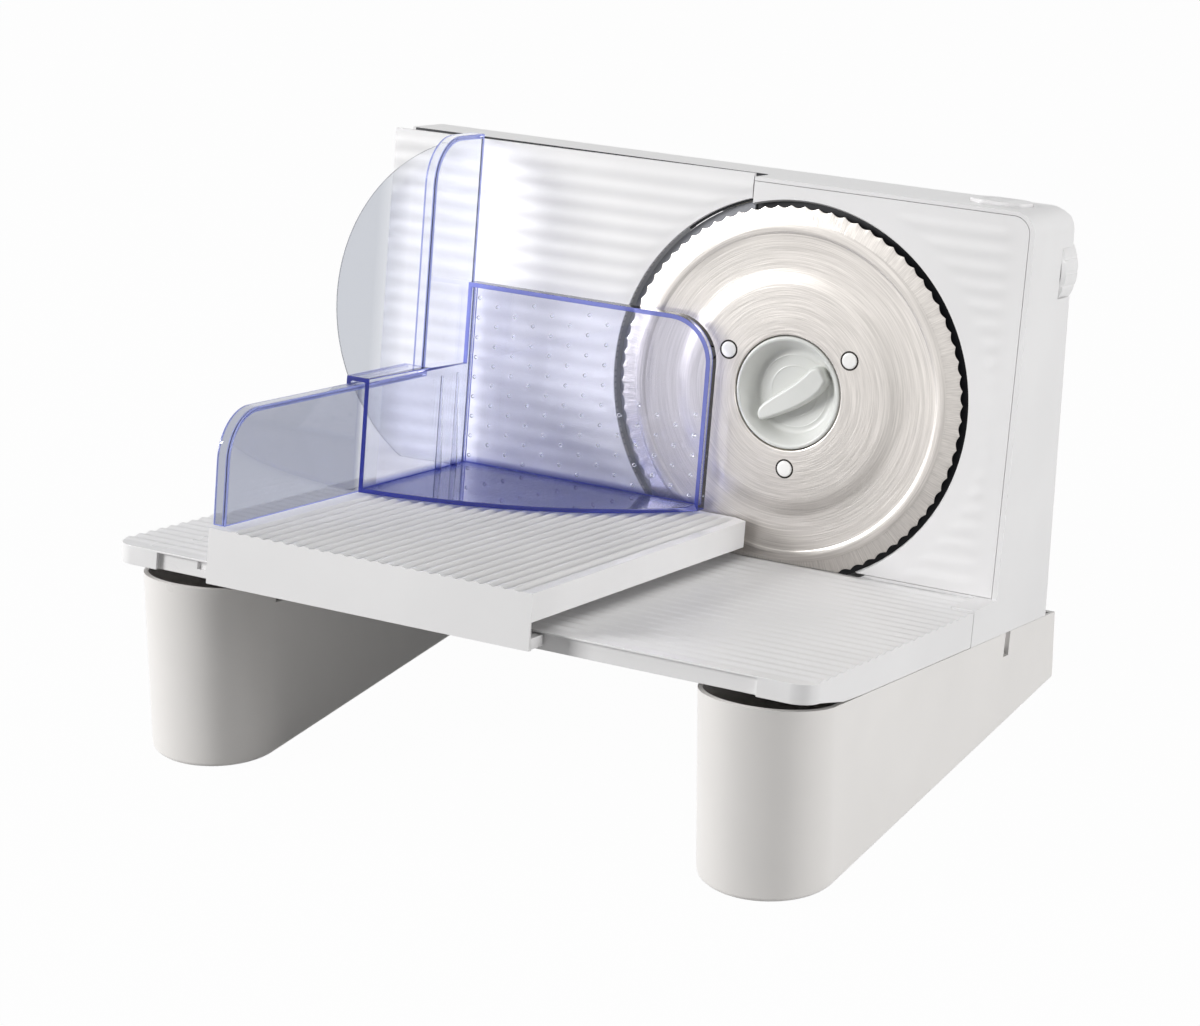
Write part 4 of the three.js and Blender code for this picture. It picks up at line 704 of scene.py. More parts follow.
@dataclass(frozen=True)
class Metal:
    """Bare metal with small scratches."""

    name: str
    colour: Colour
    roughness: float = 0.32
    flow_waves: float = 0.08
    dull_tone: float = 0.88
    roughness_reach: float = 0.08

    def build(self) -> bpy.types.Material:
        """Builds the material.

        Returns:
            The new material.
        """
        sheet = Sheet.named(self.name)
        flow = sheet.noise(sheet.machine_place(), self.flow_waves, 4.0)
        colour = sheet.ramp(flow, toned(self.colour, self.dull_tone), self.colour)
        shader = sheet.add("BsdfPrincipled", Base_Color=colour,
                           Roughness=sheet.around(flow, self.roughness, self.roughness_reach))
        shader.inputs["Metallic"].default_value = 1.0
        return sheet.surface(shader)


@dataclass(frozen=True)
class GroundSteel:
    """Blade steel: brushed in circles, with a bevel ground across its rim."""

    name: str
    colour: Colour
    bevel_from: float = 86.6
    bevel_blur: float = 0.3
    roughness: float = 0.3
    roughness_reach: float = 0.07
    ring_waves: Pair = (2.5, 1.9)
    ray_waves: Pair = (190.0, 0.12)
    line_tones: Pair = (0.74, 1.04)
    line_ends: Pair = (0.25, 0.75)
    line_bump: float = 0.2
    line_depth: float = 0.0004

    def build(self) -> bpy.types.Material:
        """Builds the material.

        Returns:
            The new material.
        """
        sheet = Sheet.named(self.name)
        parts = sheet.add("SeparateXYZ", Vector=sheet.machine_place()).outputs
        squares = [sheet.math("MULTIPLY", part, part) for part in (parts[0], parts[2])]
        radius = sheet.math("SQRT", sheet.math("ADD", *squares))
        along = [sheet.math("DIVIDE", part, radius) for part in (parts[0], parts[2])]
        round_it, outwards = self.ring_waves
        rings = sheet.add("CombineXYZ", X=sheet.math("MULTIPLY", along[0], round_it),
                          Y=sheet.math("MULTIPLY", radius, outwards),
                          Z=sheet.math("MULTIPLY", along[1], round_it))
        brushing = sheet.noise(rings.outputs[0], 1.0, 4.0)
        round_it, outwards = self.ray_waves
        rays = sheet.add("CombineXYZ", X=sheet.math("MULTIPLY", along[0], round_it),
                         Y=sheet.math("MULTIPLY", along[1], round_it),
                         Z=sheet.math("MULTIPLY", radius, outwards))
        grinding = sheet.noise(rays.outputs[0], 1.0, 3.0)
        on_bevel = sheet.spread(radius, 0.0, 1.0, self.bevel_from - self.bevel_blur,
                                self.bevel_from + self.bevel_blur)
        lines = sheet.add("Mix", A=brushing, B=grinding)
        sheet.feed(lines.inputs[0], on_bevel)
        value = lines.outputs[0]
        dull, bright = (toned(self.colour, tone) for tone in self.line_tones)
        bump = sheet.add("Bump", Height=value, Strength=self.line_bump, Distance=self.line_depth)
        shader = sheet.add("BsdfPrincipled", Base_Color=sheet.ramp(value, dull, bright, *self.line_ends),
                           Normal=bump.outputs[0],
                           Roughness=sheet.around(value, self.roughness, self.roughness_reach))
        shader.inputs["Metallic"].default_value = 1.0
        return sheet.surface(shader)


class Finish(Enum):
    """Every finish on the machine."""

    SHELL = MouldedPlastic("white_shell", linear(236, 235, 235), roughness=0.3)
    WALL = MouldedPlastic("white_wall", linear(236, 235, 235), roughness=0.46)
    LEG = MouldedPlastic("warm_white_leg", linear(234, 231, 228), roughness=0.3, grain=0.0)
    KNOB = MouldedPlastic("knob_white", linear(220, 221, 217), roughness=0.34, grain=0.03)
    # The guard's first zone is painted shade: it darkens the low front pane for the shaded table seen
    # through it. Its second zone greys the shield's outer left part, beyond the plate's edge.
    GUARD = ClearPlastic("clear_guard", (0.93, 0.94, 0.975), zones=(
        Zone(Axis.Y, -104.0, -113.0, (0.44, 0.46, 0.54)), Zone(Axis.X, -226.0, -246.0, (0.60, 0.62, 0.67))))
    GUARD_EDGE = ClearPlastic("pale_blue_edge", (0.36, 0.41, 0.82), roughness=0.15, clear=0.3)
    PUSHER = ClearPlastic("clear_blue", (0.88, 0.89, 0.97), zones=(
        Zone(Axis.Z, -60.0, -64.5, (0.08, 0.11, 0.48)),))
    EDGE = ClearPlastic("deep_blue_edge", (0.17, 0.20, 0.62), roughness=0.15, clear=0.3, zones=(
        Zone(Axis.Z, -40.0, -66.0, (0.025, 0.035, 0.30)),
        Zone(Axis.Y, -96.0, -108.0, (0.025, 0.035, 0.30))))
    BLADE = GroundSteel("ground_steel", linear(210, 205, 200), roughness=0.37)
    RIVET = MouldedPlastic("bright_rivet", linear(250, 249, 246), roughness=0.25, grain=0.0)
    STEEL = Metal("polished_steel", linear(232, 229, 224), roughness=0.22)
    # Painted shade: a near-black ring for the gap round each rivet head.
    RIVET_GAP_SHADE = Metal("painted_rivet_gap_shade", linear(58, 55, 53), roughness=0.5)
    ZINC = Metal("zinc_plate", linear(160, 162, 166), roughness=0.45)
    DARK = MouldedPlastic("dark_plastic", linear(20, 21, 28), roughness=0.5, tint=0.2)
    # Painted shade: a grey for the lit left half of the gap ring behind the blade.
    DEEP_SHADE = MouldedPlastic("painted_deep_shade", linear(168, 169, 175), roughness=0.5)
    # Painted shade: a grey for the plate's arc wall, seen in shade.
    SHADE = MouldedPlastic("painted_shade_grey", linear(196, 198, 204), roughness=0.5)
    NYLON = MouldedPlastic("natural_nylon", linear(226, 220, 203), roughness=0.5)
    BRONZE = Metal("sintered_bronze", linear(176, 138, 82), roughness=0.45)
    RUBBER = MouldedPlastic("black_rubber", linear(38, 38, 40), roughness=0.8, tint=0.15)


NODE_FINISH = {
    Slot.SHELL: Finish.SHELL,
    Slot.LEG: Finish.LEG,
    Slot.CLEAR: Finish.PUSHER,
    Slot.STEEL: Finish.STEEL,
    Slot.ZINC: Finish.ZINC,
    Slot.DARK: Finish.DARK,
    Slot.NYLON: Finish.NYLON,
    Slot.BRONZE: Finish.BRONZE,
    Slot.RUBBER: Finish.RUBBER,
}


@dataclass(frozen=True)
class Piece:
    """What a new piece is called, moves with and stands for."""

    name: str
    body: str
    slot: Slot
    finishes: tuple[Finish, ...]
    replaces: tuple[str, ...] = ()
    crease: float = 32.0


class Workshop:
    """Holds the built materials, turns shapes into pieces and dresses the nodes that stay."""

    def __init__(self) -> None:
        """Builds every finish once."""
        self.materials = {finish: finish.value.build() for finish in Finish}
        self.slot_of = {part["node"]: Slot(part["material_slot"]) for part in frame["record"]["subparts"]}
        bodies = frame["record"]["behaviour"]["bodies"]
        self.body_of = {node: body for body, nodes in bodies.items() for node in nodes}

    def dress_nodes(self) -> None:
        """Gives every node its finish."""
        for name, node in frame["nodes"].items():
            node.data.materials.clear()
            node.data.materials.append(self.materials[NODE_FINISH[self.slot_of[name]]])

    def finish(self, shape: Shape, piece: Piece, place: Matrix = LEAN.to_ground,
               steps: Sequence[Step] = ()) -> bpy.types.Object:
        """Makes a shape one of the machine's pieces.

        Args:
            shape: The shape.
            piece: Its name, body, slot and finishes.
            place: Matrix from the shape's millimetres to the ground's metres.
            steps: Modifiers to add and apply, in order.

        Returns:
            The piece.
        """
        made = shape.to_object(piece.name, place)
        for finish in piece.finishes:
            made.data.materials.append(self.materials[finish])
        for step in steps:
            step(made)
            self.apply(made)
        made.data.shade_smooth()
        made.data.set_sharp_from_angle(angle=math.radians(piece.crease))
        even = made.modifiers.new("even_shading", "WEIGHTED_NORMAL")
        even.keep_sharp = True
        self.apply(made)
        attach(made, piece.body)
        if piece.replaces:
            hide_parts(*piece.replaces)
        LOG.info("%s on %s, %d faces", piece.name, piece.body, len(made.data.polygons))
        return made

    @staticmethod
    def apply(made: bpy.types.Object) -> None:
        """Makes a piece's modifiers part of its mesh.

        Args:
            made: The piece.
        """
        plain = made.data
        graph = bpy.context.evaluated_depsgraph_get()
        made.data = bpy.data.meshes.new_from_object(made.evaluated_get(graph))
        made.modifiers.clear()
        made.data.name = plain.name
        bpy.data.meshes.remove(plain)

    @staticmethod
    def wall(thickness: float, edge_finish: int = 0) -> Step:
        """Step that gives an open sheet its thickness inwards.

        Args:
            thickness: How thick it gets.
            edge_finish: How much further in the piece's finishes its rim takes its own.

        Returns:
            The step.
        """

        def step(made: bpy.types.Object) -> None:
            """Adds the modifier.

            Args:
                made: The piece.
            """
            sheet = made.modifiers.new("wall", "SOLIDIFY")
            sheet.thickness = thickness * MM
            sheet.offset = -1.0
            sheet.use_even_offset = True
            sheet.material_offset_rim = edge_finish

        return step

    @staticmethod
    def rounding(width: float, edge_finish: int = -1, least: float = 40.0) -> Step:
        """Step that rounds the sharp edges.

        Args:
            width: How far the rounding reaches on each side.
            edge_finish: Number of its finish, or -1 for that of the faces beside it.
            least: Angle in degrees from which an edge counts as sharp.

        Returns:
            The step.
        """

        def step(made: bpy.types.Object) -> None:
            """Adds the modifier.

            Args:
                made: The piece.
            """
            soft = made.modifiers.new("rounding", "BEVEL")
            soft.width = width * MM
            soft.segments = 2
            soft.profile = 0.5
            soft.limit_method = "ANGLE"
            soft.angle_limit = math.radians(least)
            soft.material = edge_finish

        return step

    @staticmethod
    def carve(tool: Shape, place: Matrix = LEAN.to_ground, keep: bool = False) -> Step:
        """Step that cuts a tool's shape out of a piece, or keeps only what lies in it.

        Args:
            tool: The tool, which is used up.
            place: Matrix from its millimetres to the ground's metres.
            keep: Whether what lies in it stays.

        Returns:
            The step.
        """

        def step(made: bpy.types.Object) -> None:
            """Adds the modifier, applies it and takes the tool away.

            Args:
                made: The piece.
            """
            cutter = tool.to_object("cutter", place)
            cut = made.modifiers.new("carve", "BOOLEAN")
            cut.operation = "INTERSECT" if keep else "DIFFERENCE"
            cut.solver = "EXACT"
            cut.object = cutter
            Workshop.apply(made)
            mesh = cutter.data
            bpy.data.objects.remove(cutter)
            bpy.data.meshes.remove(mesh)

        return step


@dataclass(frozen=True)
class FloorRing:
    """A low ring raised on the knob's floor."""

    radius: float
    foot: float
    top: float
    height: float


@dataclass
class BladeSet:
    """Toothed blade, its rivets and the lock knob. Profiles are pairs of radius and depth."""

    radius: float = 95.0
    teeth: int = 80
    steps_per_tooth: int = 8
    tooth_depth: float = 1.3
    tooth_from: float = 90.0
    ground_edge: Profile = ((95.0, 0.3), (94.2, 0.12), (92.0, -0.08), (90.0, -0.27), (87.2, -0.54))
    bead_middle: float = 83.95
    bead_half: float = 2.9
    bead_level: float = -0.6
    bead_height: float = 0.5
    bead_angles: range = range(12, 180, 26)
    face_slope: Profile = ((80.6, -0.58), (78.0, -0.47), (72.0, -0.22), (66.5, -0.13), (64.5, -0.12))
    step_middle: float = 59.0
    step_half: float = 4.5
    step_level: float = -0.61
    step_height: float = 0.49
    step_shares: tuple[float, ...] = (-1, -0.66, -0.33, 0, 0.33, 0.66, 1)
    inner_face: Profile = ((53.5, -1.1), (46.0, -1.1), (38.0, -1.1), (30.4, -1.1), (29.7, -0.9),
                           (29.5, -0.6), (29.5, -0.1), (30.0, 0.1))
    back_face: Profile = ((58.0, 0.1), (60.0, 0.6), (90.0, 0.6), (94.6, 0.6), (95.0, 0.45))
    rivets: int = 3
    rivet_circle: float = 38.9
    rivet_phase: float = 33.3
    rivet_head: float = 4.2
    rivet_dome: Profile = ((0.0, -1.62), (0.5, -1.59), (0.78, -1.52), (0.9, -1.4), (0.96, -1.2),
                           (0.97, -0.9), (0.97, 0.2), (0.0, 0.2))
    rivet_side: float = 0.97
    gap_shade_width: Pair = (0.75, 0.95)
    gap_shade_depth: Pair = (-1.14, -1.0)
    knob_radius: float = 29.0
    knob_back: float = 10.5
    knob_dish: float = 8.0
    knob_lip: Profile = ((0.0, 0.4), (0.15, -0.2), (0.45, -0.62), (0.9, -0.86), (1.4, -0.9), (1.9, -0.8),
                         (2.4, -0.45), (2.75, 0.15), (3.2, 1.0), (5.0, 4.2), (6.6, 6.8), (7.3, 7.6),
                         (8.2, 7.95), (9.0, 8.0))
    knob_rings: tuple[FloorRing, ...] = (FloorRing(18.5, 0.5, 0.2, 0.25), FloorRing(13.0, 0.6, 0.3, 0.3))
    grip_angle: float = 31.0
    grip_tip: float = 22.0
    grip_heel: float = 18.7
    grip_crest: float = 15.5
    grip_end: float = 21.5
    grip_rise: float = 6.6
    grip_sag: float = 9.5
    grip_drop: float = 2.6
    grip_toe: Pair = (1.0, 1.5)
    grip_face: float = 2.6
    grip_root: float = 1.0
    grip_insets: Profile = ((0.5, 1.0), (0.6, 0.55), (0.7, 0.3))

    def build(self, workshop: Workshop) -> None:
        """Builds all of it.

        Args:
            workshop: Finishes the pieces.
        """
        self.build_disc(workshop)
        for number in range(self.rivets):
            self.build_rivet(workshop, number)
        self.build_knob(workshop)

    def build_disc(self, workshop: Workshop) -> None:
        """Spins the disc and presses its teeth.

        Args:
            workshop: Finishes the piece.
        """
        bead = [(self.bead_middle + self.bead_half * math.cos(math.radians(angle)),
                 self.bead_level - self.bead_height * math.sin(math.radians(angle)))
                for angle in self.bead_angles]
        step = [(self.step_middle - self.step_half * share,
                 self.step_level - self.step_height * math.sin(share * math.pi / 2))
                for share in self.step_shares]
        profile = [*self.ground_edge, *bead, *self.face_slope, *step, *self.inner_face, *self.back_face]
        disc = Shape.turned(profile, self.teeth * self.steps_per_tooth)
        for vertex in disc.mesh.verts:
            reach = math.hypot(vertex.co.x, vertex.co.z)
            if reach > self.tooth_from:
                share = (reach - self.tooth_from) / (self.radius - self.tooth_from)
                phase = math.atan2(vertex.co.z, vertex.co.x) * self.teeth / 2
                dip = share * share * self.tooth_depth * abs(math.sin(phase))
                vertex.co.x *= 1 - dip / reach
                vertex.co.z *= 1 - dip / reach
        workshop.finish(disc, Piece("blade_toothed_disc", "blade", Slot.STEEL, (Finish.BLADE,),
                                    ("blade_disc",), 20.0))

    def build_rivet(self, workshop: Workshop, number: int) -> None:
        """Spins one rivet head with a dark ring of painted shade round it, for the gap at its edge.

        Args:
            workshop: Finishes the piece.
            number: Which rivet, from 0.
        """
        angle = math.radians(self.rivet_phase + FULL_TURN / self.rivets * number)
        middle = self.rivet_circle * math.cos(angle), self.rivet_circle * math.sin(angle)
        head, steps = self.rivet_head, 40
        side, (top, foot) = head * self.rivet_side, self.gap_shade_depth
        dome = Shape.turned([(head * share, depth) for share, depth in self.rivet_dome], steps, middle,
                            closed=False)
        # The dark ring round the head is painted shade for the gap between head and blade.
        gap_shade = Shape.turned([(side, foot), (side, top), (head + self.gap_shade_width[0], top),
                             (head + self.gap_shade_width[1], foot)], steps, middle)
        name = f"blade_rivet_{number + 1}"
        workshop.finish(dome.absorb(gap_shade.paint(1)), Piece(f"{name}_head", "blade", Slot.STEEL,
                                                          (Finish.RIVET, Finish.RIVET_GAP_SHADE), (name,)))

    def build_knob(self, workshop: Workshop) -> None:
        """Spins the knob's cup with rings on its floor and draws the curved grip.

        Args:
            workshop: Finishes the piece.
        """
        rim, floor = self.knob_radius, self.knob_dish
        profile = [(0.0, self.knob_back), (rim, self.knob_back)]
        profile += [(rim - inset, depth) for inset, depth in self.knob_lip]
        for ring in self.knob_rings:
            crest = floor - ring.height
            profile += [(ring.radius + ring.foot, floor), (ring.radius + ring.top, crest),
                        (ring.radius - ring.top, crest), (ring.radius - ring.foot, floor)]
        cup = Shape.turned([*profile, (0.0, floor)], 128, closed=False)
        turn = Matrix.Rotation(math.radians(self.grip_angle), 2)
        outline = [tuple(turn @ Vector(pair)) for pair in self.grip_outline()]
        grip = Shape.drawn(outline, Axis.Y, self.grip_face, floor + self.grip_root)
        for thickness, depth in self.grip_insets:
            top = min(grip.mesh.faces, key=lambda face: face.calc_center_median().y)
            bmesh.ops.inset_region(grip.mesh, faces=[top], thickness=thickness, depth=depth,
                                   use_even_offset=True)
        workshop.finish(cup.absorb(grip), Piece("lock_knob_cup", "knob", Slot.SHELL, (Finish.KNOB,),
                                                ("lock_knob",), 50.0))

    def grip_outline(self) -> list[Pair]:
        """The grip seen from the front, before it is turned.

        Returns:
            Its outline from the tip round to the tip.
        """
        tip, heel, crest, end = self.grip_tip, self.grip_heel, self.grip_crest, self.grip_end
        rise, sag, low = self.grip_rise, self.grip_sag, -self.grip_sag / 2
        foot = low - self.grip_drop
        return [*bend((-tip, low), (-tip, -low), (0.0, 0.0), (crest, rise), 18),
                *bend((crest, rise), (end, rise), (end, rise / 2), (end, low / 2), 8),
                *bend((end, low / 2), (crest, -sag), (0.0, -sag), (-heel, foot), 16),
                *bend((-heel, foot), (self.grip_toe[0] - tip, foot), (-tip, low - self.grip_toe[1]),
                      (-tip, low), 5)]


@dataclass
class ClearGuard:
    """Clear wall on the carriage's left with its flange and the round thumb shield."""

    inner: float = -184.3
    flange: float = 7.0
    base: float = -66.7
    low: float = -10.7
    high: float = 110.6
    front: float = -227.0
    tall: float = -51.5
    rear: float = -5.0
    corner: float = 24.0
    sheet: float = 2.0
    edge: float = 0.55
    shield_middle: Pair = (-172.5, 14.0)
    shield_radius: float = 96.0
    shield_gap: float = 0.05
    shield_edge: float = 0.2

    def build(self, workshop: Workshop) -> None:
        """Builds both pieces.

        Args:
            workshop: Finishes them.
        """
        self.build_wall(workshop)
        self.build_shield(workshop)

    def build_wall(self, workshop: Workshop) -> None:
        """Cuts the wall and folds its flange outwards.

        Args:
            workshop: Finishes the piece.
        """
        shape = Shape()
        x, rear = self.inner, self.rear
        shape.face([(x, rear, self.base), (x, rear, self.high), (x, self.tall, self.high),
                    (x, self.tall, self.low), (x, self.front, self.low), (x, self.front, self.base)])
        shape.round_corners([(x, self.tall, self.high), (x, self.front, self.low)], self.corner)
        folded = [edge for edge in shape.mesh.edges
                  if not lies_at(edge, Axis.Y, rear) and not lies_at(edge, Axis.Z, self.base)]
        shape.pull_edges(folded, (-self.flange, 0.0, 0.0))
        shape.merge(NEAR)
        shape.face_towards((1.0, 0.0, 0.0))
        workshop.finish(shape, Piece("carriage_guard_clear", "carriage", Slot.CLEAR,
                                     (Finish.GUARD, Finish.GUARD_EDGE), ("carriage_guard",)),
                        steps=(workshop.wall(self.sheet, 1), workshop.rounding(self.edge, 1)))

    def build_shield(self, workshop: Workshop) -> None:
        """Draws the shield up to the wall's outer side.

        Args:
            workshop: Finishes the piece.
        """
        across, down = self.shield_middle
        side = self.inner - self.sheet - self.shield_gap
        start = 90.0 + math.degrees(math.asin((across - side) / self.shield_radius))
        end = 180.0 + math.degrees(math.asin((down - self.base) / self.shield_radius))
        bow = arc(self.shield_middle, self.shield_radius, start, end, 64)
        shield = Shape.drawn([(side, self.base), *bow], Axis.Y, self.rear - self.sheet, self.rear)
        shield.bevel(self.shield_edge, 1)
        workshop.finish(shield, Piece("carriage_guard_shield", "carriage", Slot.CLEAR, (Finish.GUARD,)))


@dataclass
class ClearPusher:
    """Clear food pusher: a cupped rear wall with studs, a side wall with its hook, and a curved floor."""

    left: float = -183.5
    right: float = -39.0
    rear: float = -5.0
    front: float = -110.0
    floor: float = -66.4
    top: float = 33.0
    side_top: float = -9.9
    corner: float = 24.0
    flange: float = 8.0
    sheet: float = 2.4
    edge: float = 0.7
    hook_left: float = -192.1
    hook_back: float = -54.0
    hook_lip: float = 4.8
    fin_places: Pair = (-38.0, -22.0)
    fin_half: float = 0.7
    fin_foot: float = 3.2
    fin_top: float = 0.6
    fin_sunk: float = 0.2
    fin_below: float = 4.0
    stud_pitch: Pair = (11.0, 10.6)
    stud_rows: int = 3
    stud_level: float = 24.4
    stud_radius: float = 1.15
    stud_height: float = 1.6
    stud_bare: float = 57.0
    stud_sunk: float = 0.3

    def build(self, workshop: Workshop) -> None:
        """Folds the sheet, gives it its thickness and adds fins and studs.

        Args:
            workshop: Finishes the pieces.
        """
        piece = Piece("pusher_clear", "pusher", Slot.CLEAR, (Finish.PUSHER, Finish.EDGE), ("pusher",))
        workshop.finish(self.folded_sheet(), piece,
                        steps=(workshop.wall(self.sheet, 1), workshop.rounding(self.edge, 1)))
        details = self.studs().absorb(*self.fins())
        workshop.finish(details, Piece("pusher_studs", "pusher", Slot.CLEAR, (Finish.PUSHER,)))

    def folded_sheet(self) -> Shape:
        """The outer skin of the pusher as one folded sheet.

        Returns:
            The open sheet.
        """
        shape = Shape()
        left, right, rear, front = self.left, self.right, self.rear, self.front
        floor, top, side = self.floor, self.top, self.side_top
        lip = rear - self.flange
        shape.face([(left, rear, floor), (right, rear, floor), (right, rear, top), (left, rear, top),
                    (left, rear, side)])
        shape.round_corners([(right, rear, top)], self.corner)
        shape.face([(left, rear, floor), (left, front, floor), (left, front, side),
                    (left, self.hook_back, side), (left, lip, side), (left, rear, side)])
        nose = [(x, y, floor) for x, y in self.nose(lip)]
        shape.face([(left, rear, floor), *nose, (right, lip, floor), (right, rear, floor)])
        rolled = [edge for edge in shape.rim()
                  if lies_at(edge, Axis.Y, rear) and not lies_at(edge, Axis.Z, floor)
                  and not (lies_at(edge, Axis.X, left)
                           and all(vertex.co.z < side + NEAR for vertex in edge.verts))]
        shape.pull_edges(rolled, (0.0, -self.flange, 0.0))
        shape.merge(NEAR)
        hook = [edge for edge in shape.rim() if lies_at(edge, Axis.X, left) and lies_at(edge, Axis.Z, side)
                and all(vertex.co.y < self.hook_back + NEAR for vertex in edge.verts)]
        outer = shape.pull_edges(hook, (self.hook_left - left, 0.0, 0.0))
        shape.pull_edges(outer, (0.0, 0.0, -self.hook_lip))
        shape.face_towards((0.0, 1.0, 0.0))
        return shape

    def nose(self, lip: float) -> list[Pair]:
        """The floor's curved front edge.

        Args:
            lip: Where it ends at the right, in y.

        Returns:
            Its points from the left, the last one left out.
        """
        start, end = (self.left, self.front), (self.right, lip)
        peak = (self.left + self.right) / 2 + self.corner, self.front + self.corner / 2
        handles = [tuple(place[i] + (peak[i] - place[i]) * 2 / 3 for i in (0, 1)) for place in (start, end)]
        return bend(start, *handles, end, 28)

    def fins(self) -> list[Shape]:
        """Two fins on the side wall's inside, tapered to the top.

        Returns:
            The fins.
        """
        inner = self.left + self.sheet
        base, head = self.floor + self.sheet, self.side_top - self.fin_below
        outline = [(inner - self.fin_sunk, base), (inner + self.fin_foot, base),
                   (inner + self.fin_top, head), (inner - self.fin_sunk, head)]
        return [Shape.drawn(outline, Axis.Y, y - self.fin_half, y + self.fin_half) for y in self.fin_places]

    def studs(self) -> Shape:
        """Rows of low studs on the rear face that hold the food.

        Returns:
            All of them, open where they stand in the wall.
        """
        rows = Shape()
        across, down = self.stud_pitch
        bare_left = self.right - self.stud_bare
        bare_low = (self.floor + self.top) / 2
        size = Matrix.Diagonal((self.stud_radius, self.stud_height, self.stud_radius, 1.0))
        column, x = 0, self.left + self.sheet + self.stud_radius
        while x < self.right - across / 2:
            z = self.stud_level - (column % self.stud_rows) * down / self.stud_rows
            while z > self.floor + down / 2:
                if x < bare_left or z < bare_low:
                    place = Matrix.Translation((x, self.rear, z)) @ size
                    bmesh.ops.create_icosphere(rows.mesh, subdivisions=2, radius=1.0, matrix=place)
                z -= down
            column, x = column + 1, x + across
        rows.cut_off((0.0, self.rear - self.stud_sunk, 0.0), (0.0, -1.0, 0.0), close=False)
        return rows


@dataclass(frozen=True)
class Leg:
    """One leg's left side, and the wall, place, width and depth of the slot in its edge."""

    name: str
    left: float
    slot_wall: float
    slot_place: float
    slot_width: float
    slot_depth: float


@dataclass
class Stand:
    """Two hollow legs with round fronts under the table."""

    width: float = 66.0
    front: float = -235.0
    rear: float = 70.0
    bottom: float = 1.0
    wall: float = 2.4
    edge: float = 0.5
    toe: float = 2.2
    uncut: float = 132.0
    seam: float = -106.0
    seam_tilt: float = math.radians(1.1)
    slot_reach: float = 6.0
    slot_top: float = -70.0
    legs: tuple[Leg, ...] = (Leg("right", 56.5, 122.5, 23.0, 6.5, 13.0),
                             Leg("left", -250.4, -184.4, -174.0, 9.0, 6.0))

    def build(self, workshop: Workshop) -> None:
        """Builds both legs."""
        for leg in self.legs:
            self.build_leg(workshop, leg)

    def build_leg(self, workshop: Workshop, leg: Leg) -> None:
        """Draws a leg's wall, cuts it along the seam and opens its slot.

        Args:
            workshop: Finishes the piece.
            leg: Which leg.
        """
        half = self.width / 2
        bow = arc((leg.left + half, self.front + half), half, 180.0, 360.0, 48)
        outline = [(leg.left, self.rear), *bow, (leg.left + self.width, self.rear)]
        shell = Shape.drawn(outline, Axis.Z, self.bottom, self.uncut)
        shell.bevel(self.toe, 3, chosen=lambda edge: lies_at(edge, Axis.Z, self.bottom))
        turn = LEAN.angle + self.seam_tilt
        place = (0.0, self.seam * math.sin(LEAN.angle), LEAN.origin[2] + self.seam * math.cos(LEAN.angle))
        shell.cut_off(place, (0.0, math.sin(turn), math.cos(turn)), close=False)
        reach, width = self.slot_reach, leg.slot_width / 2
        notch = Shape.box((leg.slot_wall - reach, leg.slot_place - width, self.seam - leg.slot_depth),
                          (leg.slot_wall + reach, leg.slot_place + width, self.slot_top))
        piece = Piece(f"{leg.name}_leg_shell", "frame", Slot.LEG, (Finish.LEG,), (f"{leg.name}_leg",))
        steps = workshop.wall(self.wall), workshop.carve(notch), workshop.rounding(self.edge, least=60.0)
        workshop.finish(shell, piece, LEAN.stand_to_ground, steps)


@dataclass(frozen=True)
class RibField:
    """A ribbed sheet's corners in x and z, where its ribs end, and its plain border round the blade."""

    low: Pair
    high: Pair
    left: float
    right: float
    base: float
    crest: float
    ring: float


@dataclass(frozen=True)
class ShadeRing:
    """Half of the ring of painted shade behind the blade, in the gap round its teeth."""

    name: str
    reach: float
    depth: float
    outward: float
    finish: Finish


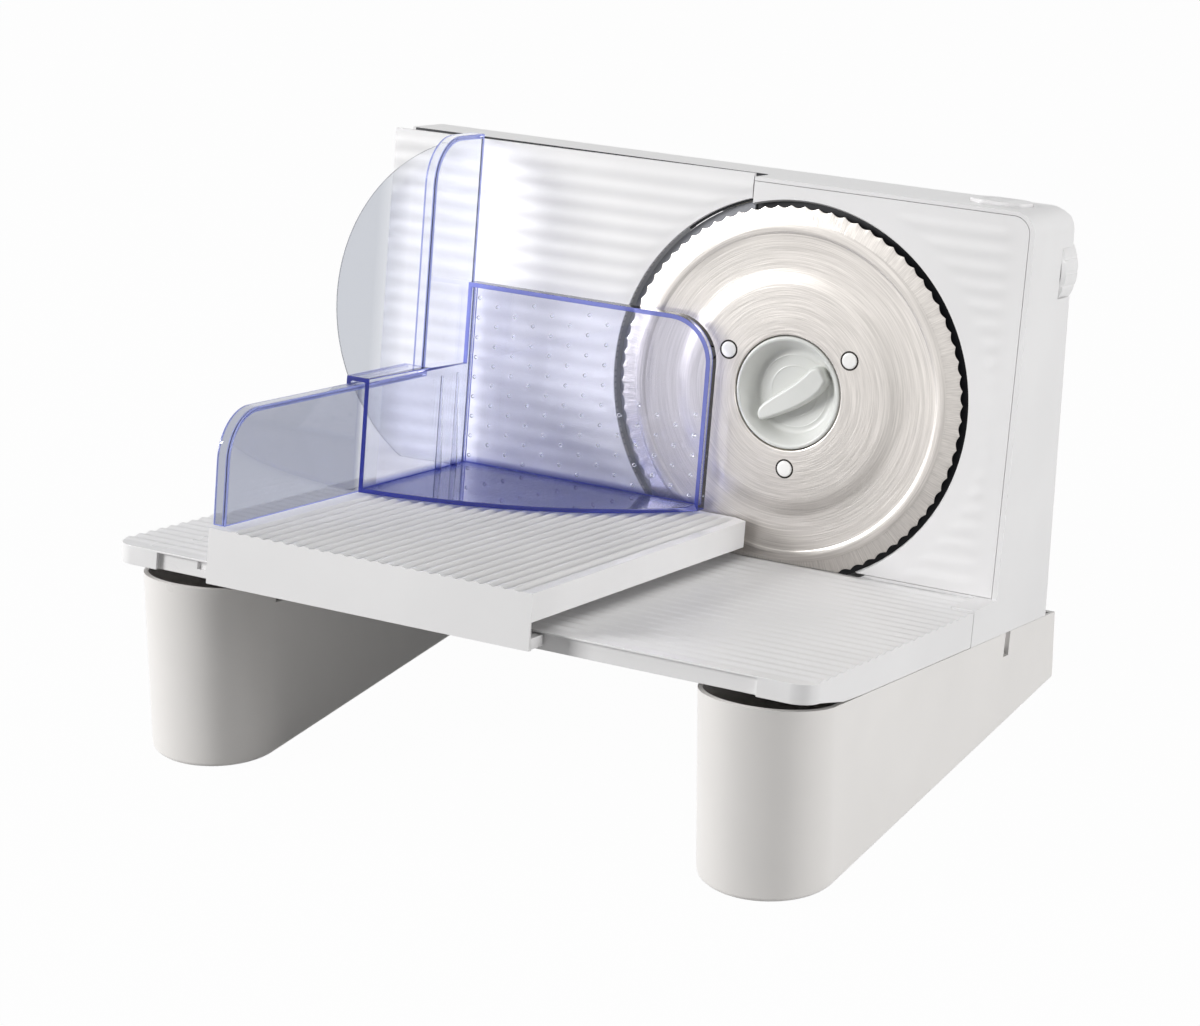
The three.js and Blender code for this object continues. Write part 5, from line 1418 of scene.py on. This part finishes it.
@dataclass
class RibbedWall:
    """The wall round the blade: the fixed panel at the right and the thickness plate at the left."""

    opening: float = 100.0
    panel_opening: float = 97.7
    face: float = 1.0
    sheet: float = 2.5
    pitch: float = 9.09
    height: float = 0.4
    fade: float = 2.5
    cell: Pair = (2.6, 0.91)
    split: float = -29.7
    panel: RibField = RibField((-29.4, -85.9), (119.8, 104.3), -32.4, 110.8, -85.6, 99.3, 8.0)
    panel_corner: float = 8.7
    panel_flare: float = 0.4
    panel_step: Pair = (-0.4, 0.1)
    panel_taper: float = 1.0
    plate: RibField = RibField((-242.5, -86.2), (-30.0, 106.9), -242.5, -27.0, -85.9, 104.4, 2.5)
    plate_slant: float = 1.2
    plate_slant_run: float = 12.0
    plate_flare: float = 0.5
    plate_step: Pair = (-0.3, 0.4)
    rim_half: float = 76.0
    rim_width: float = 2.5
    rim_start: float = 0.5
    rim_back: float = 11.0
    lip_reach: Pair = (-1.2, 1.5)
    lip_depth: Pair = (0.05, 0.65)
    lip_gap: float = 0.4
    cutter_front: float = -5.0
    panel_cutter_back: float = 9.0
    plate_cutter_back: float = 20.0
    cutter_steps: int = 192
    shade_ring_inner: float = 86.0
    shade_ring_sheet: float = 1.2
    # The gap rings are painted shade round the blade: a lit grey half at the left and a shaded dark half at
    # the right.
    shade_rings: tuple[ShadeRing, ...] = (ShadeRing("left", 98.6, 5.0, 1.0, Finish.DEEP_SHADE),
                                 ShadeRing("right", 97.2, 6.2, -1.0, Finish.DARK))
    slot_shade_strip: tuple[Point, Point] = ((-241.0, 18.7, 101.0), (-31.0, 19.25, 106.5))

    @property
    def back(self) -> float:
        """Depth of the sheets' back."""
        return self.face + self.sheet

    def build(self, workshop: Workshop) -> None:
        """Builds both halves and the pieces of painted shade behind them.

        Args:
            workshop: Finishes the pieces.
        """
        self.build_panel(workshop)
        self.build_plate(workshop)
        self.build_rim(workshop)
        self.build_shade_rings(workshop)

    def slab(self, area: RibField) -> Shape:
        """A sheet with level ribs on its face.

        Args:
            area: Its corners and where its ribs lie.

        Returns:
            The closed sheet.
        """
        low, high, base, crest = area.low, area.high, area.base, area.crest
        pitch = (crest - base) / round((crest - base) / self.pitch)
        cells = round((high[0] - low[0]) / self.cell[0]), round((high[1] - low[1]) / self.cell[1])
        border = self.opening + area.ring
        slab = Shape.grid(low, high, cells, Axis.Y, self.face)
        for vertex in slab.mesh.verts:
            x, z = vertex.co.x, vertex.co.z
            wave = (1 - math.cos(2 * math.pi * (z - base) / pitch)) / 2 if base < z < crest else 0.0
            edge = ramped(math.hypot(x, z), border, border + self.fade)
            ends = ramped(x, area.left, area.left + self.fade)
            ends *= 1 - ramped(x, area.right - self.fade, area.right)
            vertex.co.y = self.face - self.height * wave * edge * ends
        slab.close_back((0.0, self.back, 0.0))
        for vertex in slab.mesh.verts:
            if vertex.co.y > self.face + NEAR:
                vertex.co.y = self.back
        return slab

    def build_panel(self, workshop: Workshop) -> None:
        """Builds the fixed panel with its round opening and corner.

        Args:
            workshop: Finishes the piece.
        """
        (left, bottom), (right, top) = self.panel.low, self.panel.high
        front, end, corner, spare = self.cutter_front, self.panel_cutter_back, self.panel_corner, 1.0
        radius = self.panel_opening
        wide, neck = radius + self.panel_flare, radius - self.panel_taper
        start, stop = (self.face + depth for depth in self.panel_step)
        opening = Shape.turned([(0.0, front), (wide, front), (wide, start), (radius, stop),
                                (neck, self.back), (neck, end), (0.0, end)], self.cutter_steps, closed=False)
        plan = [(left - spare, bottom - spare), (right, bottom - spare),
                *arc((right - corner, top - corner), corner, 0.0, 90.0, 12), (left - spare, top)]
        outer = Shape.drawn(plan, Axis.Y, front - spare, end + spare)
        piece = Piece("right_panel_ribbed", "frame", Slot.SHELL, (Finish.WALL,), ("right_panel",))
        workshop.finish(self.slab(self.panel), piece,
                        steps=(workshop.carve(opening), workshop.carve(outer, keep=True)))

    def build_plate(self, workshop: Workshop) -> None:
        """Builds the thickness plate with its arc and slanting top.

        Args:
            workshop: Finishes the piece.
        """
        (left, _), (right, top) = self.plate.low, self.plate.high
        slab = self.slab(self.plate)
        for vertex in slab.mesh.verts:
            across = vertex.co.x - left
            rise = ramped(vertex.co.z, top - self.plate_slant_run, top) * across / (right - left)
            vertex.co.z += self.plate_slant * rise
        front, end = self.cutter_front, self.plate_cutter_back
        radius, wide = self.opening, self.opening + self.plate_flare
        start, stop = (self.face + depth for depth in self.plate_step)
        opening = Shape.turned([(0.0, front), (wide, front), (wide, start), (radius, stop), (radius, end),
                                (0.0, end)], self.cutter_steps, closed=False)
        piece = Piece("thickness_plate_ribbed", "thickness", Slot.SHELL, (Finish.WALL,),
                      ("thickness_plate",))
        workshop.finish(slab, piece, steps=(workshop.carve(opening),))

    def build_rim(self, workshop: Workshop) -> None:
        """Builds the wall behind the plate's arc, painted grey as shade, and the dark lip of painted shade
        above it.

        Args:
            workshop: Finishes the piece.
        """
        limit = math.degrees(math.asin(self.rim_half / self.opening))
        inner, outer, front = self.opening, self.opening + self.rim_width, self.face + self.rim_start
        wall = Shape.turned([(inner, front), (outer, front), (outer, self.rim_back), (inner, self.rim_back)],
                            64, start=180.0 - limit, sweep=2 * limit)
        turn = math.degrees(math.acos((self.split - self.lip_gap) / self.opening))
        inner, outer = (self.opening + reach for reach in self.lip_reach)
        front, back = (self.back + depth for depth in self.lip_depth)
        lip = Shape.turned([(inner, front), (outer, front), (outer, back), (inner, back)], 16, start=turn,
                           sweep=180.0 - limit - turn)
        wall.absorb(lip.paint(1))
        bmesh.ops.holes_fill(wall.mesh, edges=wall.rim(), sides=0)
        wall.weld()
        # The arc wall gets a grey of painted shade, and the lip above it a dark of painted shade for the gap
        # above the blade's top.
        workshop.finish(wall, Piece("thickness_plate_rim", "thickness", Slot.DARK,
                                    (Finish.SHADE, Finish.DARK)))

    def build_shade_rings(self, workshop: Workshop) -> None:
        """Builds the ring of painted shade behind the blade and the dark strip of painted shade in the slot
        under the lid.

        Args:
            workshop: Finishes the pieces.
        """
        for shade_ring in self.shade_rings:
            inner, reach, depth = self.shade_ring_inner, shade_ring.reach, shade_ring.depth
            back = depth + self.shade_ring_sheet
            ring = Shape.turned([(inner, depth), (reach, depth), (reach, back), (inner, back)], 128)
            ring.cut_off((self.split, 0.0, 0.0), (shade_ring.outward, 0.0, 0.0))
            piece = Piece(f"blade_well_ring_{shade_ring.name}", "frame", Slot.DARK, (shade_ring.finish,))
            workshop.finish(ring, piece)
        # Dark strip of painted shade for the gap between the plate's top and the lid.
        lip = Shape.box(*self.slot_shade_strip, 0.1)
        workshop.finish(lip, Piece("lid_slot_painted_shade", "frame", Slot.DARK, (Finish.DARK,)))


@dataclass
class Carriage:
    """Sliding carriage: a ribbed top with sides, an apron in front, and its runners below."""

    left: float = -191.6
    right: float = -13.5
    front: float = -229.7
    rear: float = -4.0
    base: float = -67.8
    rib_height: float = 0.9
    rib_pitch: float = 6.6
    cells_per_rib: int = 8
    cells_along: int = 64
    front_share: float = 0.5
    fade: float = 2.0
    bottom: float = -81.5
    apron: float = -95.0
    sheet: float = 2.6
    edge: float = 0.8
    border: float = 6.0
    chamfer: float = 8.0
    guard_flange: float = 7.0
    rail_top: float = -89.3
    tongue_height: float = 5.5
    tongue_rear: float = -216.2
    tongue_inset: float = 0.2
    tongue_lap: float = 0.5
    tongue_edge: float = 0.4
    runner_places: Pair = (-190.0, -36.0)
    runner_width: float = 4.0
    runner_bottom: float = -86.2
    runner_inset: Pair = (6.0, 14.0)
    runner_sunk: float = 1.0
    runner_edge: float = 0.5

    def build(self, workshop: Workshop) -> None:
        """Builds the top and the runners."""
        self.build_top(workshop)
        self.build_runners(workshop)

    def build_top(self, workshop: Workshop) -> None:
        """Waves the top's ribs and folds its skirt and apron down.

        Args:
            workshop: Finishes the piece.
        """
        first, last = self.left + self.guard_flange + self.border, self.right - self.border
        pitch = (last - first) / round((last - first) / self.rib_pitch)
        cells = round((self.right - self.left) / (pitch / self.cells_per_rib)), self.cells_along
        inner = self.rear - self.border
        top = Shape.grid((self.left, self.front), (self.right, self.rear), cells, Axis.Z, self.base)
        for vertex in top.mesh.verts:
            x, y = vertex.co.x, vertex.co.y
            wave = math.sin(2 * math.pi * (x - first) / pitch) if first < x < last else 0.0
            ends = 1 - ramped(y, inner - self.fade, inner + self.fade)
            start = ramped(y, self.front, self.front + self.border)
            ends *= self.front_share + (1 - self.front_share) * start
            vertex.co.z = self.base + self.rib_height * wave * ends
        top.cut_off((self.right, self.rear - self.chamfer / 2, 0.0), (1.0, 2.0, 0.0), close=False)
        skirt = top.pull_edges(top.rim(), (0.0, 0.0, self.bottom - self.base))
        for edge in skirt:
            for vertex in edge.verts:
                vertex.co.z = self.bottom
        front = [edge for edge in skirt if lies_at(edge, Axis.Y, self.front)]
        top.pull_edges(front, (0.0, 0.0, self.apron - self.bottom))
        top.face_towards((0.0, 0.0, 1.0))
        piece = Piece("carriage_top", "carriage", Slot.SHELL, (Finish.SHELL,), ("carriage",))
        steps = workshop.wall(self.sheet), workshop.rounding(self.edge, least=50.0)
        workshop.finish(top, piece, steps=steps)

    def build_runners(self, workshop: Workshop) -> None:
        """Builds the tongue over the front rail and the two runners on the table.

        Args:
            workshop: Finishes the piece.
        """
        left, right = self.left + self.tongue_inset, self.right - self.tongue_inset
        front, low = self.front + self.sheet - self.tongue_lap, self.rail_top - self.tongue_height
        tongue = Shape.box((left, front, low), (right, self.tongue_rear, self.rail_top), self.tongue_edge)
        left, right = self.left + self.runner_inset[0], self.right - self.runner_inset[1]
        low, high = self.runner_bottom, self.base - self.runner_sunk
        runners = [Shape.box((left, y - self.runner_width, low), (right, y, high), self.runner_edge)
                   for y in self.runner_places]
        workshop.finish(tongue.absorb(*runners), Piece("carriage_runners", "carriage", Slot.SHELL,
                                                       (Finish.SHELL,)))


@dataclass
class SoftenedNodes:
    """Moulded pieces whose solids are right, copied with their edges rounded."""

    widths: dict[str, float] = field(default_factory=lambda: {
        "table": 0.7, "main_housing": 0.6, "rear_cover": 0.6, "stand_bridge": 0.6, "thickness_dial": 0.5,
        "power_button": 0.5, "cord_gland": 0.4, "right_front_foot": 0.5, "right_rear_foot": 0.5,
        "left_front_foot": 0.5, "left_rear_foot": 0.5})
    flat: float = math.radians(1.0)

    def build(self, workshop: Workshop) -> None:
        """Copies and rounds each of them.

        Args:
            workshop: Finishes the pieces.
        """
        for node, width in self.widths.items():
            shape = Shape()
            shape.mesh.from_mesh(frame["nodes"][node].data)
            shape.merge(NEAR * MM)
            bmesh.ops.dissolve_limit(shape.mesh, angle_limit=self.flat, verts=shape.mesh.verts,
                                     edges=shape.mesh.edges)
            slot = workshop.slot_of[node]
            piece = Piece(f"{node}_soft", workshop.body_of[node], slot, (NODE_FINISH[slot],), (node,))
            workshop.finish(shape, piece, Matrix.Identity(4), (workshop.rounding(width, least=50.0),))


@dataclass(frozen=True)
class SoftBox:
    """A square lamp aimed at the machine, in metres and watts."""

    name: str
    place: Point
    size: float
    power: float


@dataclass(frozen=True)
class Studio:
    """Floor, lamps, background and camera, in metres."""

    camera_place: Point = (0.764087, -1.379671, 0.699966)
    camera_right: Point = (0.87738, 0.479784, -0.002862)
    camera_down: Point = (0.165927, -0.309018, -0.936469)
    lens: float = 100.645
    sensor: float = 36.0
    floor_size: float = 9.0
    floor_grey: Colour = (0.4, 0.4, 0.4)
    floor_glow: float = 0.98
    world_tint: Colour = (0.98, 0.99, 1.0)
    world_light: float = 0.14
    lamp_target: Point = (0.0, 0.0, 0.12)
    lamps: tuple[SoftBox, ...] = (
        SoftBox("top_box", (0.0, -0.3, 1.9), 1.4, 8.0),
        SoftBox("left_box", (-2.6, -2.1, 1.4), 1.15, 112.0),
        SoftBox("right_box", (2.1, 0.1, 0.5), 1.2, 29.0),
    )

    def build(self) -> None:
        """Sets up all of the studio."""
        self.add_camera()
        self.add_floor()
        self.light_world()
        for lamp in self.lamps:
            self.add_lamp(lamp)
        bpy.context.scene.view_settings.view_transform = "Standard"

    def add_camera(self) -> None:
        """Puts the camera where the photograph was taken."""
        data = bpy.data.cameras.new("camera")
        data.lens = self.lens
        data.sensor_width = self.sensor
        data.sensor_fit = "HORIZONTAL"
        camera = bpy.data.objects.new("camera", data)
        bpy.context.scene.collection.objects.link(camera)
        right = Vector(self.camera_right).normalized()
        up = -Vector(self.camera_down).normalized()
        turn = Matrix((right, up, right.cross(up))).transposed().to_4x4()
        camera.matrix_world = Matrix.Translation(Vector(self.camera_place)) @ turn
        bpy.context.scene.camera = camera

    def add_floor(self) -> None:
        """Adds the pale floor, which stays near white and keeps the shadow."""
        shape = Shape()
        bmesh.ops.create_grid(shape.mesh, x_segments=1, y_segments=1, size=self.floor_size)
        floor = shape.to_object("floor", Matrix.Identity(4))
        sheet = Sheet.named("pale_floor")
        paper = sheet.add("BsdfDiffuse", Color=(*self.floor_grey, 1.0))
        glow = sheet.add("Emission", Color=WHITE, Strength=1.0)
        floor.data.materials.append(sheet.surface(sheet.mix(sheet.seen_share(self.floor_glow), paper, glow)))

    def light_world(self) -> None:
        """Makes the world white to look at and softer as light."""
        sheet = Sheet(bpy.data.worlds.new("white_room"), "OutputWorld")
        light = sheet.add("Background", Color=(*self.world_tint, 1.0), Strength=self.world_light)
        white = sheet.add("Background", Color=WHITE, Strength=1.0)
        bpy.context.scene.world = sheet.surface(sheet.mix(sheet.seen_share(), light, white))

    def add_lamp(self, lamp: SoftBox) -> None:
        """Adds one soft box.

        Args:
            lamp: Its name, place, size and power.
        """
        data = bpy.data.lights.new(lamp.name, "AREA")
        data.shape = "SQUARE"
        data.size = lamp.size
        data.energy = lamp.power
        box = bpy.data.objects.new(lamp.name, data)
        bpy.context.scene.collection.objects.link(box)
        aim = (Vector(self.lamp_target) - Vector(lamp.place)).to_track_quat("-Z", "Y")
        box.matrix_world = Matrix.Translation(Vector(lamp.place)) @ aim.to_matrix().to_4x4()


def main() -> None:
    """Builds the sub-assemblies in order."""
    logging.basicConfig(level=logging.INFO, format="%(name)s: %(message)s")
    workshop = Workshop()
    workshop.dress_nodes()
    for assembly in (BladeSet(), ClearGuard(), ClearPusher(), Stand(), RibbedWall(), Carriage(),
                     SoftenedNodes()):
        assembly.build(workshop)
    Studio().build()


if __name__ == "__main__":
    main()
